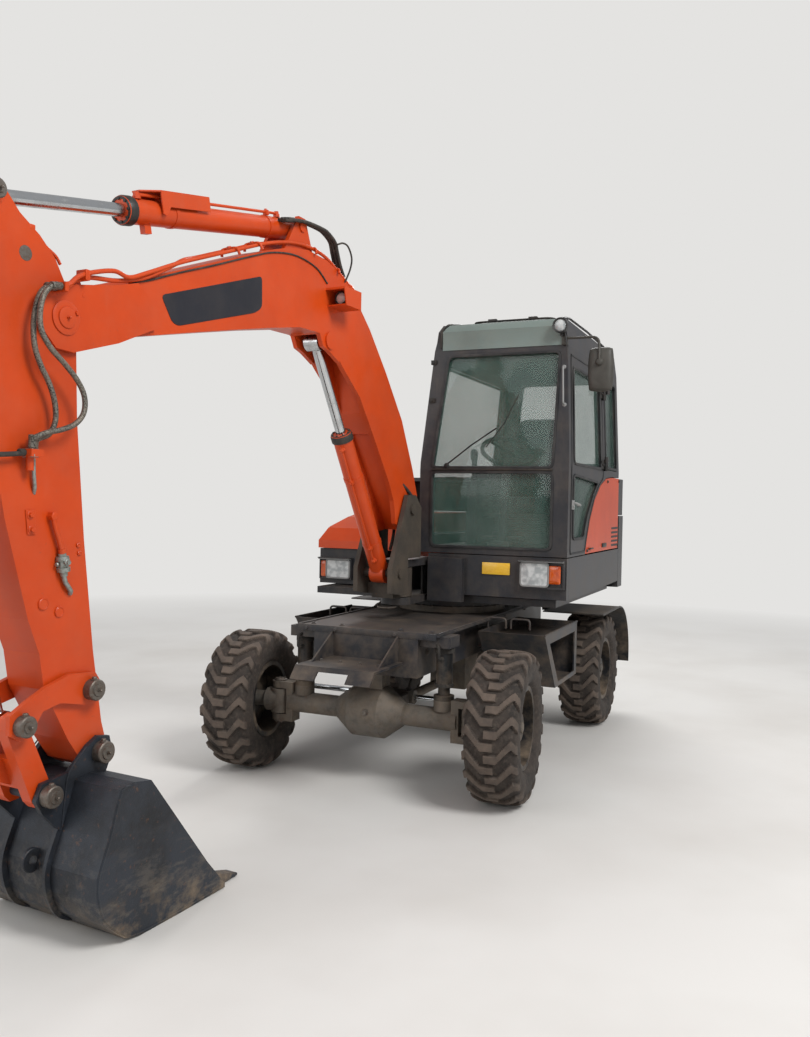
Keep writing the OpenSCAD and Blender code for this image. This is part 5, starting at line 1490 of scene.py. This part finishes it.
class EXCAVATOR_OT_bucket(bpy.types.Operator):
    """Add the bucket's weld beads, ribs and lifting eye rim"""

    bl_idname = "excavator.bucket"
    bl_label = "Bucket fittings"

    def execute(self, context):
        self.welds()
        self.back()
        return {"FINISHED"}

    def welds(self):
        """Weld beads where the shell meets the side plates: tubes 8 mm inside the plates' outline."""
        s = Shape(plane)
        for side in (1, -1):
            path = [(2519, 572), (2580, 564), (2634, 410), (2684, 286), (2682, 202), (2650, 120), (2554, 34),
                    (2480, 13), (2265, 11), (2010, 16)]
            s.tube(smooth_path(flat(path, side * (BUCKET_SIDE - 1)), 4), 4.5, 8)
        for side in (1, -1):
            ear = [(2540, 690), (2622, 612), (2640, 520), (2652, 420)]
            s.tube(smooth_path(flat(ear, side * 126), 4), 3, 6)
        s.make("bucket_welds", "bucket", "bucket")

    def back(self):
        """Ribs down the back under the ears, sin^(1/2) high along their length, and the lifting eye's rim."""
        back = [(2626, 476), (2652, 404), (2698, 287), (2697, 198), (2662, 111), (2596, 50)]
        path = smooth_path(flat(back, 0), 5)
        t = np.gradient(path, axis=0)
        t /= np.linalg.norm(t, axis=1)[:, None]
        out = np.cross(t, Y)
        out *= np.sign(out[:, :1])
        grow = 20 * np.sin(np.linspace(0.5, np.pi, len(path)))[:, None] ** 0.5
        s = Shape(plane)
        for lat in (-114, 114):
            p = path + lat * Y
            s.loft(np.stack([p - 8 * Y - 4 * out, p - 8 * Y + grow * out, p + 8 * Y + grow * out,
                             p + 8 * Y - 4 * out], 1))
        s.ring((2712, 40, 300), Y, [(-9, 17), (-9, 42), (-6, 45), (6, 45), (9, 42), (9, 17)])
        s.make("bucket_ribs", "bucket", "bucket")


class EXCAVATOR_OT_stage(bpy.types.Operator):
    """Set the floor, the light and the camera"""

    bl_idname = "excavator.stage"
    bl_label = "Stage"

    def execute(self, context):
        scene = context.scene
        scene.view_settings.view_transform = "Standard"
        self.floor(scene)
        self.world(scene)
        for name, place, power, size in (
            ("key", (3.0, 6.0, 7.0), 540, 3.0),
            ("fill", (7.0, -3.5, 4.0), 170, 5.0),
            ("back", (-6.0, -1.0, 6.5), 300, 4.0),
        ):
            light = bpy.data.lights.new(name, "AREA")
            light.energy = power
            light.size = size
            lamp = bpy.data.objects.new(name, light)
            lamp.location = place
            lamp.rotation_euler = (Vector((0, 0, 1.2)) - Vector(place)).to_track_quat("-Z", "Y").to_euler()
            scene.collection.objects.link(lamp)
        camera = bpy.data.cameras.new("camera")
        # The lens, the place and the three directions come from the camera that was fitted to the photo.
        camera.sensor_width = 36.0
        camera.lens = 31.58
        camera.clip_end = 200.0
        view = bpy.data.objects.new("camera", camera)
        right = Vector((-0.40527, 0.91399, 0.01970))
        up = Vector((-0.00736, -0.02480, 0.99967))
        ahead = Vector((-0.91417, -0.40499, -0.01678))
        turn = Matrix((right, up, -ahead)).transposed().to_4x4()
        view.matrix_world = Matrix.Translation((4.82933, 2.2018, 1.6276)) @ turn
        scene.collection.objects.link(view)
        scene.camera = view
        return {"FINISHED"}

    def floor(self, scene):
        """A floor that fades into the background from 5 m to 11 m out, so that it has no edge."""
        data = bpy.data.meshes.new("floor")
        data.from_pydata([(-40, -40, 0), (40, -40, 0), (40, 40, 0), (-40, 40, 0)], [], [(0, 1, 2, 3)])
        floor = bpy.data.objects.new("floor", data)
        scene.collection.objects.link(floor)
        ground = Finish("pale_floor", "#dcdad6", 0.9)
        ground.over("#d2cfca", ground.noise(1200, 4, 0.5, low=0.4, high=0.7))
        tree = ground.tree
        far = ground.node("ShaderNodeVectorMath")
        far.operation = "LENGTH"
        ground.link(ground.coords.outputs["Object"], far.inputs[0])
        glow = ground.node("ShaderNodeEmission", Color=linear("#e4e3e1"), Strength=1.0)
        mix = tree.nodes.new("ShaderNodeMixShader")
        ground.link(ground.ramp(far.outputs["Value"], 5.0, 11.0), mix.inputs[0])
        ground.link(ground.shader.outputs[0], mix.inputs[1])
        ground.link(glow.outputs[0], mix.inputs[2])
        ground.link(mix.outputs[0], tree.nodes["Material Output"].inputs["Surface"])
        data.materials.append(ground.material)

    def world(self, scene):
        """A pale background for the camera and a soft dome for the light."""
        world = bpy.data.worlds.new("studio")
        scene.world = world
        world.use_nodes = True
        tree = world.node_tree
        background = tree.nodes["Background"]
        background.inputs["Strength"].default_value = 0.48
        background.inputs["Color"].default_value = linear("#f4f4f6")
        path = tree.nodes.new("ShaderNodeLightPath")
        pale = tree.nodes.new("ShaderNodeBackground")
        pale.inputs["Color"].default_value = linear("#e4e3e1")
        mix = tree.nodes.new("ShaderNodeMixShader")
        tree.links.new(path.outputs["Is Camera Ray"], mix.inputs[0])
        tree.links.new(background.outputs[0], mix.inputs[1])
        tree.links.new(pale.outputs[0], mix.inputs[2])
        tree.links.new(mix.outputs[0], tree.nodes["World Output"].inputs["Surface"])


class EXCAVATOR_PT_panel(bpy.types.Panel):
    """Sizes and steps in the sidebar"""

    bl_label = "Excavator"
    bl_space_type = "VIEW_3D"
    bl_region_type = "UI"
    bl_category = "Excavator"

    def draw(self, context):
        scene = context.scene
        for group in (scene.excavator_colours, scene.excavator_tyres, scene.excavator_seat):
            for name in group.__annotations__:
                self.layout.prop(group, name)
        for step in STEPS:
            self.layout.operator(step.bl_idname)


STEPS = (
    EXCAVATOR_OT_finishes,
    EXCAVATOR_OT_stage,
    EXCAVATOR_OT_tyres,
    EXCAVATOR_OT_wheel_fittings,
    EXCAVATOR_OT_boom,
    EXCAVATOR_OT_arm,
    EXCAVATOR_OT_cab,
    EXCAVATOR_OT_seat,
    EXCAVATOR_OT_body,
    EXCAVATOR_OT_chassis,
    EXCAVATOR_OT_bucket,
)
CLASSES = (ExcavatorColours, ExcavatorTyres, ExcavatorSeat, EXCAVATOR_PT_panel) + STEPS


def register():
    for c in CLASSES:
        bpy.utils.register_class(c)
    bpy.types.Scene.excavator_colours = bpy.props.PointerProperty(type=ExcavatorColours)
    bpy.types.Scene.excavator_tyres = bpy.props.PointerProperty(type=ExcavatorTyres)
    bpy.types.Scene.excavator_seat = bpy.props.PointerProperty(type=ExcavatorSeat)


def unregister():
    del bpy.types.Scene.excavator_seat
    del bpy.types.Scene.excavator_tyres
    del bpy.types.Scene.excavator_colours
    for c in reversed(CLASSES):
        bpy.utils.unregister_class(c)


def main():
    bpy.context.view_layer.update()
    register()
    bpy.ops.excavator.finishes()
    bpy.ops.excavator.stage()
    bpy.ops.excavator.tyres()
    bpy.ops.excavator.wheel_fittings()
    bpy.ops.excavator.boom()
    bpy.ops.excavator.arm()
    bpy.ops.excavator.cab()
    bpy.ops.excavator.seat()
    bpy.ops.excavator.body()
    bpy.ops.excavator.chassis()
    bpy.ops.excavator.bucket()


if __name__ == "__main__":
    main()
